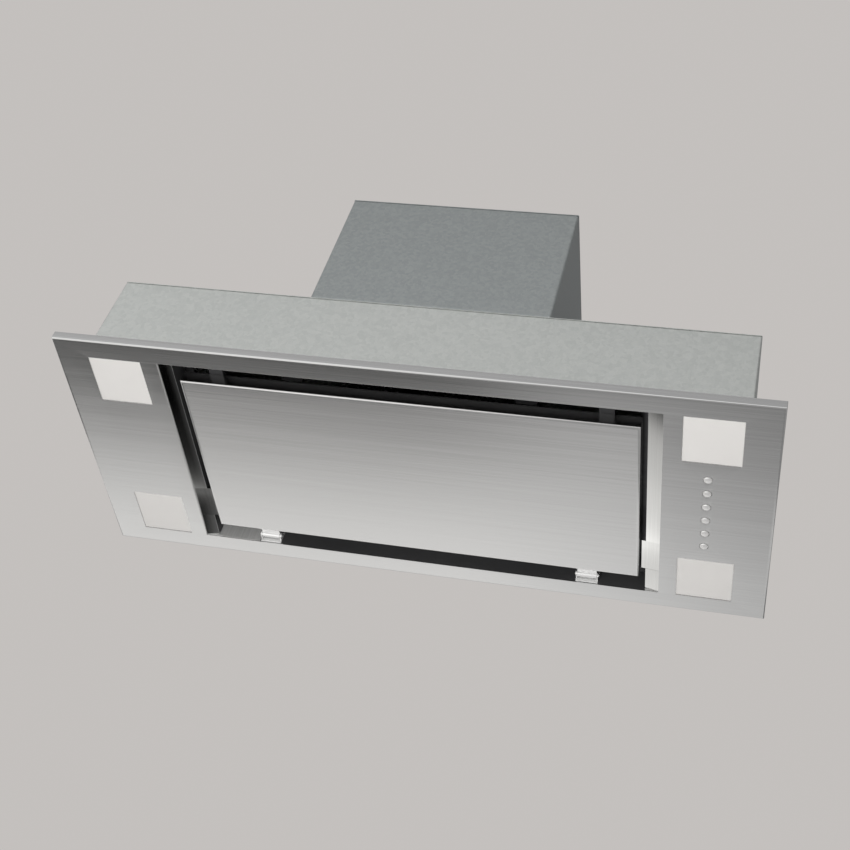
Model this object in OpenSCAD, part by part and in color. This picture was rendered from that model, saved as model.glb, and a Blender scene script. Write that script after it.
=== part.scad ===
// Built-in range hood that draws air in round the edge of a hinged panel, as it hangs in a wall cabinet.
// X runs to the right, Y to the back wall and Z up. The origin lies under the middle of the face plate,
// level with the faces of the push buttons.

/* [Face plate] */
// Width of the face plate
plate_w = 860; // [840:1:900]
// Depth of the face plate, front to back
plate_d = 360; // [350:1:390]
// Thickness of the face plate's sheet
plate_t = 1; // [0.8:0.1:1.2]
// Height of the turned-up rim over the visible face
rim_h = 12; // [8:0.5:20]

/* [Box] */
// Distance from the side edge of the face plate to the box
box_side = 35; // [20:1:45]
// Outside depth of the box
box_d = 312; // [311:1:330]
// Height of the box's roof over the visible face
box_h = 142; // [135:1:200]
// Thickness of the galvanised sheet
box_t = 1; // [0.8:0.1:1.2]
// Width of the box's bottom flange, outwards
box_foot = 12; // [10:0.5:14]
// Width of the box's top flange, inwards
box_lip = 15; // [12:0.5:20]
// Width of the end flanges of the bay walls
bay_flange = 3; // [2:0.1:6]

/* [Motor housing] */
// Outside width of the motor housing
housing_w = 300; // [296:1:340]
// Height of the motor housing over the roof of the box
housing_h = 203; // [201:1:260]
// Thickness of the housing's sheet
housing_t = 1; // [0.8:0.1:1.2]
// Width of the housing's inward flanges
housing_lip = 14; // [12:0.5:16]

/* [Suction panel] */
// Gap between the suction panel and each short side of the opening
panel_side = 24.5; // [22:0.1:30]
// Gap between the suction panel and each long side of the opening
panel_end = 25; // [22:0.5:30]
// Height of the panel's turned-up rim over its visible face
panel_rim = 18; // [16.5:0.5:20]
// Thickness of the panel's sheet
panel_t = 1; // [0.8:0.1:1.2]
// Thickness of the panel's closing sheet
core_t = 0.8; // [0.6:0.1:1.2]
// Depth of the closing sheet's turned-down edge
core_edge = 9; // [6:0.5:10]
// Distance of the stiffening channels from the middle
rib_x = 130; // [100:1:200]
// Width of a stiffening channel
rib_w = 24; // [16:1:40]

/* [Panel hinges] */
// Distance from the panel's side edge to the middle of a hinge
hinge_end = 65.5; // [45:0.5:90]
// Width of a hinge bracket
hinge_w = 28; // [24:1:34]
// Distance of the hinge axis in from the back edge of the opening
hinge_in = 7; // [6:0.1:8]
// Height of the hinge axis over the visible face
hinge_up = 9; // [8:0.5:10]
// Radius of the hinge pin
hinge_pin_r = 2; // [1.5:0.1:2.2]
// Thickness of the hinge's sheet
hinge_t = 1.5; // [1.2:0.1:2]

/* [Throat and filters] */
// Thickness of the black throat liner
throat_t = 0.8; // [0.6:0.1:1]
// Height of the lips that carry the filters over the visible face
throat_h = 30; // [29:0.5:34]
// Width of those lips
lip_d = 13; // [11:0.5:14]
// How far the side ledges reach into the opening
ledge_in = 17; // [14:0.5:18]
// Height of the outer edge of the side ledges over the visible face
ledge_up = 2.5; // [2:0.5:8]
// Rise of the side ledges towards the panel
ledge_rise = 2; // [0:0.5:5]
// Thickness of the side ledges
ledge_t = 1; // [0.8:0.1:1.2]
// Width of the foot of a side ledge
ledge_foot = 10.5; // [9.5:0.1:14]
// Gap between the panel and the wide rear end of a side ledge
ledge_end_gap = 2.5; // [1.5:0.1:4]
// Length of that rear end
ledge_end = 50; // [20:1:80]
// Length of the side ledges behind the middle, up to the seam
seam_y = 115; // [110:1:125]
// Length of the grey tab on the left rear corner piece
corner_tab = 58; // [30:1:58]
// Height of a grease filter
filter_h = 10; // [9:0.5:14]
// Width of a filter frame's border
filter_border = 12; // [10:0.5:16]
// Thickness of the filter frame's sheet
filter_t = 1; // [0.8:0.1:1.2]
// Width of one square gap in the filter mesh
mesh_gap = 16; // [12:0.5:24]
// Width of the ribs between the gaps
mesh_rib = 5; // [3:0.5:8]
// Width of the filter's sliding latch
latch_w = 50; // [30:1:70]
// Travel of the latch
latch_travel = 8; // [6.5:0.5:9]
// Thickness of the latch
latch_t = 1.5; // [1:0.1:2]
// Distance from the panel's side edge to the middle of a magnet catch
catch_end = 40.5; // [20:0.5:80]
// Width of a magnet catch
catch_w = 18; // [12:1:24]

/* [Lamps] */
// Width of a lamp's window
lamp_w = 67; // [60:0.5:68]
// Depth of a lamp's window
lamp_d = 70; // [60:0.5:72]
// Gap between a lamp's tray and the end wall of the box
lamp_wall = 0.9; // [0.4:0.1:3]
// Distance from the box's long wall to the edge of a lamp
lamp_edge = 1.5; // [1.4:0.1:3]
// How far the window lies above the visible face
lamp_recess = 0.6; // [0.2:0.1:1]
// Height of the lamp tray
tray_h = 24; // [15:1:40]
// Thickness of the lamp tray's sheet
tray_t = 0.8; // [0.6:0.1:0.9]

/* [Buttons] */
// Spacing of the buttons
button_pitch = 22.8; // [20:0.1:23]
// Diameter of a button
button_d = 10; // [8:0.5:11]
// How far a button stands out of the face plate
button_proud = 1.5; // [1:0.1:2.5]
// Travel of a button
button_travel = 1.5; // [0.8:0.1:2]
// Offset of the row of buttons from the middle of the lamps
button_shift = 3; // [0:0.5:4]
// Height of the block that guides the buttons
guide_h = 12; // [10:0.5:16]

/* [Fan] */
// Outside radius of the impeller
fan_r = 62; // [58:0.5:63]
// Half the width of the impeller
fan_half = 54; // [46:0.5:55]
// Number of blades
blade_count = 28; // [20:1:36]
// Smallest inside radius of the fan casing
scroll_r0 = 72; // [70:0.5:74]
// Largest inside radius of the fan casing
scroll_r1 = 100; // [90:1:102]
// Inside half width of the fan casing
scroll_half = 58; // [57:0.5:60]
// Thickness of the casing's wall
scroll_t = 2; // [1.5:0.1:3]
// Distance from the housing's front wall to the fan's axis
fan_in = 110; // [105:1:115]
// Height from the fan's axis to the housing's top
fan_drop = 102; // [97:1:104]
// Radius of the motor
motor_r = 42; // [36:0.5:44]
// Radius of the motor shaft
shaft_r = 4; // [3:0.5:5]

/* [Outlet] */
// Outside radius of the outlet collar
collar_r = 75; // [75:0.5:76]
// Height of the collar over the housing
collar_h = 50; // [46:1:80]
// Thickness of the collar's wall
collar_t = 2; // [1.5:0.1:2]
// Height of the damper's pin over the housing
damper_up = 22; // [18:0.5:26]
// Radius of the damper's pin
damper_pin_r = 2; // [1.5:0.1:2.2]

/* [Mountings] */
// Distance of the hanging holes in from the side of the box
hang_side = 45; // [35:1:55]
// Distance of the hanging holes in from the front and back of the box
hang_end = 46; // [35:1:60]
// Radius of a hanging hole
hang_r = 3; // [2.5:0.5:5]
// Radius of the cable gland's bore
gland_r = 4.5; // [3:0.5:6]

/* [Control box] */
// Depth of the control box off the end wall
control_w = 40; // [30:1:50]
// Length of the control box
control_d = 110; // [104:1:124]
// Height of the control box
control_h = 60; // [50:1:66]
// Height of the control box's floor over the visible face
control_up = 58.5; // [50:0.5:64]

/* [Hidden] */
$fn = 48;

// Clearances: between bodies that move, between pieces that seat, round a fixed shaft and round a turning one
move_gap = 0.3;
seat_gap = 0.2;
tight_gap = 0.02;
run_gap = 0.05;
// Overshoot of a cut past the face it starts from
cut = 1;

// Levels of the sheets
face_z = button_proud;
plate_top = face_z + plate_t;
roof_z = face_z + box_h;
wall_top = roof_z - box_t;
top_z = roof_z + housing_h;
top_under = top_z - housing_t;
ledge_z = face_z + ledge_up;
ledge_high = ledge_z + ledge_rise;
lip_z = face_z + throat_h;
filter_z = lip_z + throat_t;
panel_top = face_z + panel_rim;

// Places of the lamps between the box's end wall and the wall of the side bay
box_w = plate_w - 2 * box_side;
box_in_x = box_w / 2 - box_t;
box_in_y = box_d / 2 - box_t;
lens_grip = 3;
lens_t = 1.5;
tray_gap = 0.8;
tray_out = lens_grip + tray_gap + tray_t;
tray_half = lamp_w / 2 + tray_out;
bay_clear = 0.4;
lamp_x = box_in_x - lamp_wall - tray_half;
lamp_y = box_in_y - lamp_edge - lamp_d / 2;
bay_x = lamp_x - tray_half - bay_clear - bay_flange - box_t;

// The opening, up to the foot of the side ledges, and what lies in it
foot_clear = 1;
open_w = 2 * (bay_x - foot_clear - ledge_foot - ledge_t);
panel_w = open_w - 2 * panel_side;
throat_y = box_in_y - throat_t;
open_d = 2 * (throat_y - seat_gap);
panel_d = open_d - 2 * panel_end;
throat_x = open_w / 2 - ledge_in + seat_gap;
throat_end = open_w / 2 - move_gap;
tab_clear = 6;

// Lamp trays, the buttons and their guide
tray_near = 1.1;
tray_tab = 9.5;
tray_tab_w = 24;
led_t = 1.6;
led_side = 6;
button_x = lamp_x - button_shift;
button_ring = 0.5;
collar_out = 2;
stem_r = 3;
guide_w = 24;
guide_end = 9;
guide_half = 2.5 * button_pitch + guide_end;
stem_out = 2.5;
stem_top = plate_top + guide_h + stem_out;
button_collar_t = 1.5;
switch_h = 3.5;
board_t = 1.6;
board_in = 4;
board_z = stem_top + button_travel + move_gap + switch_h;

// Fan, motor and outlet
housing_in_x = housing_w / 2 - housing_t;
housing_in_y = box_d / 2 - housing_t;
axis_y = fan_in - housing_in_y;
axis_z = top_under - fan_drop;
tongue_a = 80;
tongue_y = scroll_r0 * cos(tongue_a);
outlet_y = axis_y + (tongue_y + scroll_r1) / 2;
outlet_half = (scroll_r1 - tongue_y) / 2;
scroll_out = scroll_half + scroll_t;
scroll_rim = 14;
inlet_hole_r = fan_r + 4;
inlet_r = 50;
ring_t = 1.5;
ring_r = inlet_hole_r + 8;
blade_l = 13;
blade_t = 1;
mount_r = ring_r + 8;
mount_h = ring_t + 1;
arm_w = 12;
bracket_t = 2;
motor_x0 = 10;
motor_x1 = scroll_out + mount_h;
boss_r = 14;
boss_l = 10;
shaft_in = 38;
hub_r = 10;
hub_x = 12;
mount_angles = [90, 210, 330];
damper_z = top_z + damper_up;
collar_flange_w = 15;
collar_flange_t = 3;
flap_r = collar_r - collar_t - 0.6;
flap_t = 1.2;
barrel_r = damper_pin_r + 1.5;
flap_in = barrel_r + 1;
stop_w = 3;
barrel_l = 28;
barrel_x = -58;
cap_r = 15;
cap_h = 60;
cap_in = 80;
cap_y = housing_in_y - cap_in;
cap_drop = 30;
cap_z = axis_z - cap_drop;
clip_t = 1;
cap_x = housing_in_x - cap_r - 2 * clip_t;
clip_z = 22;
clip_h = 14;

// Panel hinges and catches
hinge_x = panel_w / 2 - hinge_end;
hinge_y = open_d / 2 - hinge_in;
hinge_z = face_z + hinge_up;
knuckle_r = hinge_pin_r + 2;
ear_in = hinge_w / 2 - hinge_t;
catch_x = panel_w / 2 - catch_end;
catch_z = panel_top + move_gap;
catch_h = 8;
catch_over = 10;

// Room at each end of the panel's stiffening channels
rib_end = 10;

// Filters
filter_x0 = 1;
filter_x1 = throat_x - 1;
filter_front = -(throat_y - lip_d) + 1.5;
filter_back = throat_y - 4;
filter_mid = (filter_x0 + filter_x1) / 2;
mesh_in = filter_t + seat_gap;
latch_z = filter_z + filter_t + move_gap;
hem_w = 6;
latch_out = 6;
latch_tip = filter_front - latch_out;
latch_back = filter_front + filter_border + 3;
latch_pull = 9;
pocket_w = latch_w + 8;
pocket_y = latch_back + latch_travel + 3;

// Fasteners
stud_r = 2;
stud_h = 8;
nut_r = 4;
nut_h = 3.2;
screw_r = 1.9;
head_r = 4;
head_h = 2.5;
screw_l = 7;
screw_y = 100;
stud_x = 300;
roof_screw_x = 250;
top_screw_x = 90;
outlet_screw_x = scroll_out + 4;
outlet_screw_y = outlet_half + 6;
foot_y = box_d / 2 + box_foot / 2;
foot_x = box_w / 2 + box_foot / 2;
box_studs = concat(
  [for (x = [-stud_x, 0, stud_x], y = [-foot_y, foot_y]) [x, y]],
  [for (x = [-foot_x, foot_x], y = [-screw_y, screw_y]) [x, y]]);
ledge_stud_x = open_w / 2 + ledge_t + ledge_foot / 2;
stud_back = 25;
ledge_stud_y = seam_y - stud_back;
ledge_studs = [for (x = [-ledge_stud_x, ledge_stud_x], y = [-ledge_stud_y, 0, ledge_stud_y]) [x, y]];
lamp_tab_y = lamp_y - lamp_d / 2 - tray_out - tray_tab / 2;
lamp_studs = [for (x = [-lamp_x, lamp_x], y = [-lamp_tab_y, lamp_tab_y]) [x, y]];
guide_studs = [for (y = [-2, 2]) [button_x, y * button_pitch]];
roof_screws = concat(
  [for (x = [-1, 1], y = [-screw_y, screw_y]) [x * (box_in_x - box_lip / 2), y]],
  [for (x = [-roof_screw_x, roof_screw_x], y = [-1, 1]) [x, y * (box_in_y - box_lip / 2)]]);
foot_screws = [for (x = [-1, 1], y = [-screw_y, 0, screw_y]) [x * (housing_in_x - housing_lip / 2), y]];
top_screws = concat(
  [for (x = [-1, 1], y = [-screw_y, screw_y]) [x * (housing_in_x - housing_lip / 2), y]],
  [for (x = [-top_screw_x, top_screw_x], y = [-1, 1]) [x, y * (housing_in_y - housing_lip / 2)]]);
outlet_screws = [for (x = [-1, 1], y = [-1, 1]) [x * outlet_screw_x, outlet_y + y * outlet_screw_y]];

// Control box, gland and leads
control_x0 = box_in_x - control_w;
control_z = face_z + control_up;
control_t = 2;
lid_t = 2.5;
post_h = 8;
post_r = 3;
post_in = 10;
board_x = box_in_x - control_t - post_h;
control_mid = control_z + control_h / 2;
// Height, length and width of the transformer, a relay and the terminal block on the control board
transformer = [16, 30, 28];
relay = [12, 11, 20];
terminals = [10, 18, 36];
gland_thread_r = gland_r + 5.5;
gland_nut_r = gland_thread_r + 4;
gland_x = box_in_x - box_lip - gland_nut_r - seat_gap;
gland_in = 70;
gland_y = box_in_y - gland_in;
gland_down = 9;
gland_up = 16;
gland_hex_h = 5;
lead_r = 2.5;
lead_x = control_x0 + control_w / 2;
lead_out_z = control_z + control_h;
motor_lead_y = axis_y;
motor_lead_x = 110;
motor_lead_z = lead_out_z + 8;
lamp_lead_z = lead_out_z + 15;
lamp_lead_y = 20;
tray_lead_y = 45;
tray_top = plate_top + tray_h;
lead_low = (tray_top + control_z) / 2;

steel = [0.72, 0.72, 0.72];
galvanised = [0.72, 0.75, 0.73];
housing_grey = [0.52, 0.57, 0.58];
black = [0.09, 0.09, 0.1];
aluminium = [0.78, 0.79, 0.8];
off_white = [0.9, 0.89, 0.86];
board_green = [0.12, 0.35, 0.2];

// A block centred on X and Y
module block(w, d, h, z) translate([-w / 2, -d / 2, z]) cube([w, d, h]);
// A block between two corners
module span(x0, x1, y0, y1, z0, z1) translate([x0, y0, z0]) cube([x1 - x0, y1 - y0, z1 - z0]);
// Upright round bars or holes at each point of a list
module rods(points, r, z0, z1) for (p = points) translate([p[0], p[1], z0]) cylinder(r = r, h = z1 - z0);
// The same piece on the right and, mirrored, on the left
module right_side(right = true) mirror([right ? 0 : 1, 0, 0]) children();
module back_side(back = true) mirror([0, back ? 0 : 1, 0]) children();
// A bar or hole along X
module x_rod(r, x0, x1, y, z) translate([x0, y, z]) rotate([0, 90, 0]) cylinder(r = r, h = x1 - x0);
// A piece that is drawn upright, turned onto the fan's axis with its foot at x
module on_axis(x) translate([x, axis_y, axis_z]) rotate([0, 90, 0]) children();
// The same piece at each of the three motor mounts
module at_mounts() for (a = mount_angles) rotate(a) translate([mount_r, 0, 0]) children();

module face_plate() color(steel) difference() {
  union() {
    difference() {
      block(plate_w, plate_d, rim_h, face_z);
      block(plate_w - 2 * plate_t, plate_d - 2 * plate_t, rim_h, plate_top);
    }
    rods(concat(box_studs, ledge_studs, lamp_studs), stud_r, face_z + plate_t / 2, plate_top + stud_h);
    rods(guide_studs, stud_r, face_z + plate_t / 2, plate_top + guide_h + nut_h + 1);
  }
  block(open_w, open_d, rim_h, face_z - cut);
  for (x = [-lamp_x, lamp_x], y = [-lamp_y, lamp_y])
    translate([x, y, 0]) block(lamp_w, lamp_d, rim_h, face_z - cut);
  rods(button_points(), button_d / 2 + button_ring, face_z - cut, plate_top + cut);
}

module chassis_box() color(galvanised) difference() {
  union() {
    block(box_w, box_d, wall_top - plate_top, plate_top);
    block(box_w + 2 * box_foot, box_d + 2 * box_foot, box_t, plate_top);
  }
  block(2 * box_in_x, 2 * box_in_y, wall_top - box_t - plate_top + cut, plate_top - cut);
  block(2 * (box_in_x - box_lip), 2 * (box_in_y - box_lip), 3 * cut, wall_top - 2 * cut);
  rods(box_studs, stud_r + seat_gap, plate_top - cut, plate_top + box_t + cut);
  rods(roof_screws, screw_r + seat_gap, wall_top - 2 * cut, wall_top + cut);
}

module box_top() color(galvanised) difference() {
  block(box_w, box_d, box_t, wall_top);
  block(2 * (housing_in_x - housing_lip), 2 * (housing_in_y - housing_lip), box_t + 2 * cut, wall_top - cut);
  rods([for (x = [-1, 1], y = [-1, 1]) [x * (box_w / 2 - hang_side), y * (box_d / 2 - hang_end)]],
    hang_r, wall_top - cut, roof_z + cut);
  rods(concat(roof_screws, foot_screws), screw_r + seat_gap, wall_top - cut, roof_z + cut);
  rods([[gland_x, gland_y]], gland_thread_r + seat_gap, wall_top - cut, roof_z + cut);
}

module bay_wall(right) color(galvanised) right_side(right) difference() {
  union() {
    span(bay_x, bay_x + box_t, -box_in_y, box_in_y, plate_top, wall_top - box_t);
    for (y = [-1, 1])
      span(bay_x, bay_x + box_t + bay_flange, min(y * box_in_y, y * (box_in_y - box_t)),
        max(y * box_in_y, y * (box_in_y - box_t)), plate_top, wall_top - box_t);
  }
  x_rod(lead_r + 2, bay_x - cut, bay_x + box_t + cut, motor_lead_y, motor_lead_z);
  x_rod(lead_r + 2, bay_x - cut, bay_x + box_t + cut, lamp_lead_y, lamp_lead_z);
}

// A bar along Y whose outline is given by points of X and Z
module y_bar(points, y0, y1)
  translate([0, y1, 0]) rotate([90, 0, 0]) linear_extrude(y1 - y0) polygon(points);
// A stretch of ledge: shelf that rises to its inner edge, web and foot
module ledge_bar(y0, y1) {
  x0 = open_w / 2 - ledge_in;
  x1 = open_w / 2;
  x2 = x1 + ledge_t;
  foot_z = plate_top + ledge_t;
  y_bar([[x1, plate_top], [x1, ledge_z], [x0, ledge_high], [x0, ledge_high + ledge_t],
    [x1, ledge_z + ledge_t], [x2, ledge_z + ledge_t / 2], [x2, foot_z], [x2 + ledge_foot, foot_z],
    [x2 + ledge_foot, plate_top]], y0, y1);
}

module side_ledge(right) color(steel) difference() {
  right_side(right) {
    ledge_bar(-throat_y + move_gap, seam_y);
    span(panel_w / 2 + ledge_end_gap, throat_x, seam_y - ledge_end, seam_y, ledge_high, ledge_high + ledge_t);
  }
  rods(ledge_studs, stud_r + seat_gap, plate_top - cut, plate_top + ledge_t + cut);
}

module rear_corners() color(steel) {
  for (right = [true, false]) right_side(right) ledge_bar(seam_y + move_gap, throat_y - seat_gap);
  // Grey tab of the left piece along the back of the throat
  span(-open_w / 2, -throat_x + corner_tab, throat_y - seat_gap - ledge_t, throat_y - seat_gap,
    plate_top + seat_gap, ledge_high + ledge_t / 2);
  span(-throat_x + seat_gap, -throat_x + corner_tab, throat_y - seat_gap - ledge_t, throat_y - seat_gap,
    plate_top + seat_gap, lip_z - tab_clear);
}

module throat_liner() color(black) {
  for (back = [true, false]) back_side(back) {
    span(-throat_end, throat_end, throat_y, box_in_y, plate_top, filter_z);
    span(-throat_end, throat_end, throat_y - lip_d, box_in_y, lip_z, filter_z);
  }
  for (right = [true, false]) right_side(right) {
    span(throat_x, throat_x + throat_t, -box_in_y, box_in_y, ledge_high + ledge_t, filter_z);
    span(throat_x, bay_x, -box_in_y, box_in_y, lip_z, filter_z);
  }
  // Hem of the front lip, which the filter latches rest on
  span(-throat_x, throat_x, -throat_y + lip_d - hem_w, -throat_y + lip_d, lip_z, filter_z + filter_t);
}

module filter_frame(right) color(aluminium) right_side(right) difference() {
  span(filter_x0, filter_x1, filter_front, filter_back, filter_z, filter_z + filter_h);
  // Channel for the mesh
  span(filter_x0 + filter_t, filter_x1 - filter_t, filter_front + filter_t, filter_back - filter_t,
    filter_z + filter_t, filter_z + filter_h - filter_t);
  // Window
  span(filter_x0 + filter_border, filter_x1 - filter_border, filter_front + filter_border,
    filter_back - filter_border, filter_z - cut, filter_z + filter_h + cut);
  // Slot for the latch
  span(filter_mid - latch_w / 2 - 1, filter_mid + latch_w / 2 + 1, filter_front - cut,
    filter_front + filter_t + cut, latch_z - move_gap, latch_z + latch_t + move_gap);
}

module filter_mesh(right) color(aluminium) right_side(right) {
  x0 = filter_x0 + mesh_in;
  x1 = filter_x1 - mesh_in;
  y0 = filter_front + mesh_in;
  y1 = filter_back - mesh_in;
  step = mesh_gap + mesh_rib;
  nx = floor((x1 - x0 - 2 * filter_border) / step);
  ny = floor((y1 - pocket_y - 2 * filter_border) / step);
  difference() {
    span(x0, x1, y0, y1, filter_z + filter_t, filter_z + filter_h - filter_t - seat_gap);
    span(filter_mid - pocket_w / 2, filter_mid + pocket_w / 2, y0 - cut, pocket_y,
      filter_z, filter_z + filter_h);
    for (i = [0 : nx - 1], j = [0 : ny - 1])
      translate([filter_mid + (i - (nx - 1) / 2) * step, (pocket_y + y1) / 2 + (j - (ny - 1) / 2) * step, 0])
        block(mesh_gap, mesh_gap, filter_h, filter_z);
  }
}

module filter_latch(right) color(black) right_side(right) {
  span(filter_mid - latch_w / 2, filter_mid + latch_w / 2, latch_tip, latch_back, latch_z, latch_z + latch_t);
  span(filter_mid - latch_w / 4, filter_mid + latch_w / 4, latch_back - latch_t, latch_back,
    latch_z - latch_pull, latch_z + latch_t);
}

module motor_housing() color(housing_grey) difference() {
  block(housing_w, box_d, top_under - roof_z, roof_z);
  block(2 * housing_in_x, 2 * housing_in_y, top_under - roof_z - 2 * housing_t, roof_z + housing_t);
  block(2 * (housing_in_x - housing_lip), 2 * (housing_in_y - housing_lip), housing_h, roof_z - cut);
  rods(foot_screws, screw_r + seat_gap, roof_z - cut, roof_z + housing_t + cut);
  rods(top_screws, screw_r + seat_gap, top_under - 2 * cut, top_under + cut);
}

module housing_top() color(housing_grey) difference() {
  block(housing_w, box_d, housing_t, top_under);
  rods([[0, outlet_y]], collar_r - collar_t, top_under - cut, top_z + cut);
  rods(concat(top_screws, outlet_screws), screw_r + seat_gap, top_under - cut, top_z + cut);
}

module outlet_collar() color(black) {
  stop_z = damper_z - flap_t / 2 - move_gap - flap_t;
  difference() {
    union() {
      rods([[0, outlet_y]], collar_r + collar_flange_w, top_z, top_z + collar_flange_t);
      rods([[0, outlet_y]], collar_r, top_z, top_z + collar_h);
    }
    // Bore, which steps in to a stop under the closed flaps
    rods([[0, outlet_y]], collar_r - collar_t, top_z - cut, stop_z);
    rods([[0, outlet_y]], flap_r - stop_w, top_z - cut, top_z + collar_h + cut);
    rods([[0, outlet_y]], collar_r - collar_t, stop_z + flap_t, top_z + collar_h + cut);
    rods(outlet_screws, screw_r + seat_gap, top_z - cut, top_z + collar_flange_t + cut);
    x_rod(damper_pin_r + tight_gap, -collar_r - cut, collar_r + cut, outlet_y, damper_z);
  }
}

module damper_pin() color(steel)
  x_rod(damper_pin_r, -collar_r + seat_gap, collar_r - seat_gap, outlet_y, damper_z);

// One flap: a half disc with two barrels, whose first one starts at barrel number first
module flap(first) {
  starts = [for (i = [first, first + 2]) barrel_x + i * (barrel_l + 2 * move_gap)];
  difference() {
    union() {
      intersection() {
        translate([0, 0, -flap_t / 2]) cylinder(r = flap_r, h = flap_t);
        span(-flap_r, flap_r, -flap_r, -flap_in, -flap_t, flap_t);
      }
      for (x = starts) {
        x_rod(barrel_r, x, x + barrel_l, 0, 0);
        span(x, x + barrel_l, -flap_in - 1, 0, -flap_t / 2, flap_t / 2);
      }
    }
    x_rod(damper_pin_r + run_gap, -flap_r, flap_r, 0, 0);
  }
}
module damper_flap_front() color(black) translate([0, outlet_y, damper_z]) flap(0);
module damper_flap_back() color(black) translate([0, outlet_y, damper_z]) mirror([0, 1, 0]) flap(1);

// Outline of the fan casing, seen along the fan's axis
module scroll_outline(extra, rise) {
  steps = 40;
  polygon([for (i = [0 : steps])
    let (a = tongue_a + i * (360 - tongue_a) / steps,
      r = scroll_r0 + extra + i * (scroll_r1 - scroll_r0) / steps)
    [r * cos(a), r * sin(a)]]);
  translate([tongue_y - extra, 0]) square([scroll_r1 - tongue_y + 2 * extra, rise]);
}
module along_x(half) rotate([90, 0, 90]) translate([0, 0, -half]) linear_extrude(2 * half) children();

module fan_scroll() color([0.3, 0.31, 0.33]) {
  difference() {
    union() {
      translate([0, axis_y, axis_z]) along_x(scroll_out) scroll_outline(scroll_t, fan_drop);
      // Flange under the housing's top
      translate([0, outlet_y, 0])
        block(2 * (scroll_out + scroll_rim), 2 * (outlet_half + scroll_rim), scroll_t, top_under - scroll_t);
    }
    translate([0, axis_y, axis_z]) along_x(scroll_half) scroll_outline(0, fan_drop + cut);
    x_rod(inlet_hole_r, -scroll_out - cut, scroll_out + cut, axis_y, axis_z);
    rods(outlet_screws, screw_r + seat_gap, top_under - scroll_t - cut, top_under + cut);
  }
}

module inlet_rings() color(galvanised) for (right = [true, false]) right_side(right)
  on_axis(scroll_out) rotate_extrude() {
    roll = 4;
    translate([inlet_r + roll, 0]) square([ring_r - inlet_r - roll, ring_t]);
    // Rolled mouth
    intersection() {
      translate([inlet_r + roll, ring_t - roll]) difference() {
        circle(r = roll);
        circle(r = roll - ring_t);
      }
      translate([inlet_r, ring_t - roll]) square([roll + 0.01, roll]);
    }
  }

module motor_bracket() color(galvanised) on_axis(motor_x1) difference() {
  union() {
    cylinder(r = motor_r, h = bracket_t);
    for (a = mount_angles) rotate(a)
      translate([motor_r / 2, -arm_w / 2, 0]) cube([mount_r - motor_r / 2, arm_w, bracket_t]);
    at_mounts() cylinder(r = arm_w / 2 + 1, h = bracket_t);
  }
  translate([0, 0, -cut]) cylinder(r = boss_r + seat_gap, h = bracket_t + 2 * cut);
  translate([0, 0, -cut]) at_mounts() cylinder(r = screw_r + seat_gap, h = bracket_t + 2 * cut);
}

module motor_mounts() color(black) on_axis(scroll_out) at_mounts() difference() {
  cylinder(r = arm_w / 2, h = mount_h);
  translate([0, 0, -cut]) cylinder(r = screw_r + seat_gap, h = mount_h + 2 * cut);
}

module fan_motor() color([0.35, 0.36, 0.38]) difference() {
  nose = 6;
  union() {
    x_rod(motor_r, motor_x0 + nose, motor_x1, axis_y, axis_z);
    x_rod(motor_r - 2 * nose, motor_x0, motor_x0 + nose + cut, axis_y, axis_z);
    x_rod(boss_r, motor_x1 - cut, motor_x1 + boss_l, axis_y, axis_z);
  }
  x_rod(shaft_r + run_gap, motor_x0 - cut, shaft_in + 1, axis_y, axis_z);
}

module impeller() color(galvanised) translate([0, axis_y, axis_z]) difference() {
  blade_tilt = 30;
  end_ring = 1.5;
  union() {
    // Centre disc and its hub, which ends short of the motor
    x_rod(fan_r - 1, -blade_t, blade_t, 0, 0);
    x_rod(hub_r, -hub_x, motor_x0 - 2, 0, 0);
    for (i = [0 : blade_count - 1]) rotate([i * 360 / blade_count, 0, 0])
      translate([-fan_half, fan_r - blade_l, 0]) rotate([blade_tilt, 0, 0])
        cube([2 * fan_half, blade_l, blade_t]);
    for (s = [-1, 1]) difference() {
      x_rod(fan_r, s * fan_half - end_ring, s * fan_half + end_ring, 0, 0);
      x_rod(fan_r - blade_l - blade_t, s * fan_half - 2 * end_ring, s * fan_half + 2 * end_ring, 0, 0);
    }
  }
  x_rod(shaft_r + tight_gap, -hub_x - cut, hub_x + cut, 0, 0);
}

module motor_shaft() color(steel) x_rod(shaft_r, -hub_x - 2, shaft_in, axis_y, axis_z);

module run_capacitor() color([0.85, 0.85, 0.83]) translate([cap_x, cap_y, cap_z]) {
  cylinder(r = cap_r, h = cap_h);
  // Clip on the housing's wall
  difference() {
    translate([0, 0, clip_z]) union() {
      cylinder(r = cap_r + clip_t, h = clip_h);
      translate([cap_r + 0.6 * clip_t, -cap_r, 0]) cube([1.4 * clip_t, 2 * cap_r, clip_h]);
    }
    translate([0, 0, clip_z - cut]) cylinder(r = cap_r + tight_gap, h = clip_h + 2 * cut);
  }
}

module control_box() color(black) {
  difference() {
    span(control_x0, box_in_x, -control_d / 2, control_d / 2, control_z, control_z + control_h);
    span(control_x0 - cut, box_in_x - control_t, -control_d / 2 + control_t, control_d / 2 - control_t,
      control_z + control_t, control_z + control_h - control_t);
  }
  // Posts under the board
  for (y = [-1, 1], z = [-1, 1])
    x_rod(post_r, board_x, box_in_x - control_t / 2, y * (control_d / 2 - post_in),
      control_mid + z * (control_h / 2 - post_in));
}
module control_lid() color(black)
  span(control_x0 - lid_t, control_x0, -control_d / 2, control_d / 2, control_z, control_z + control_h);
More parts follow.
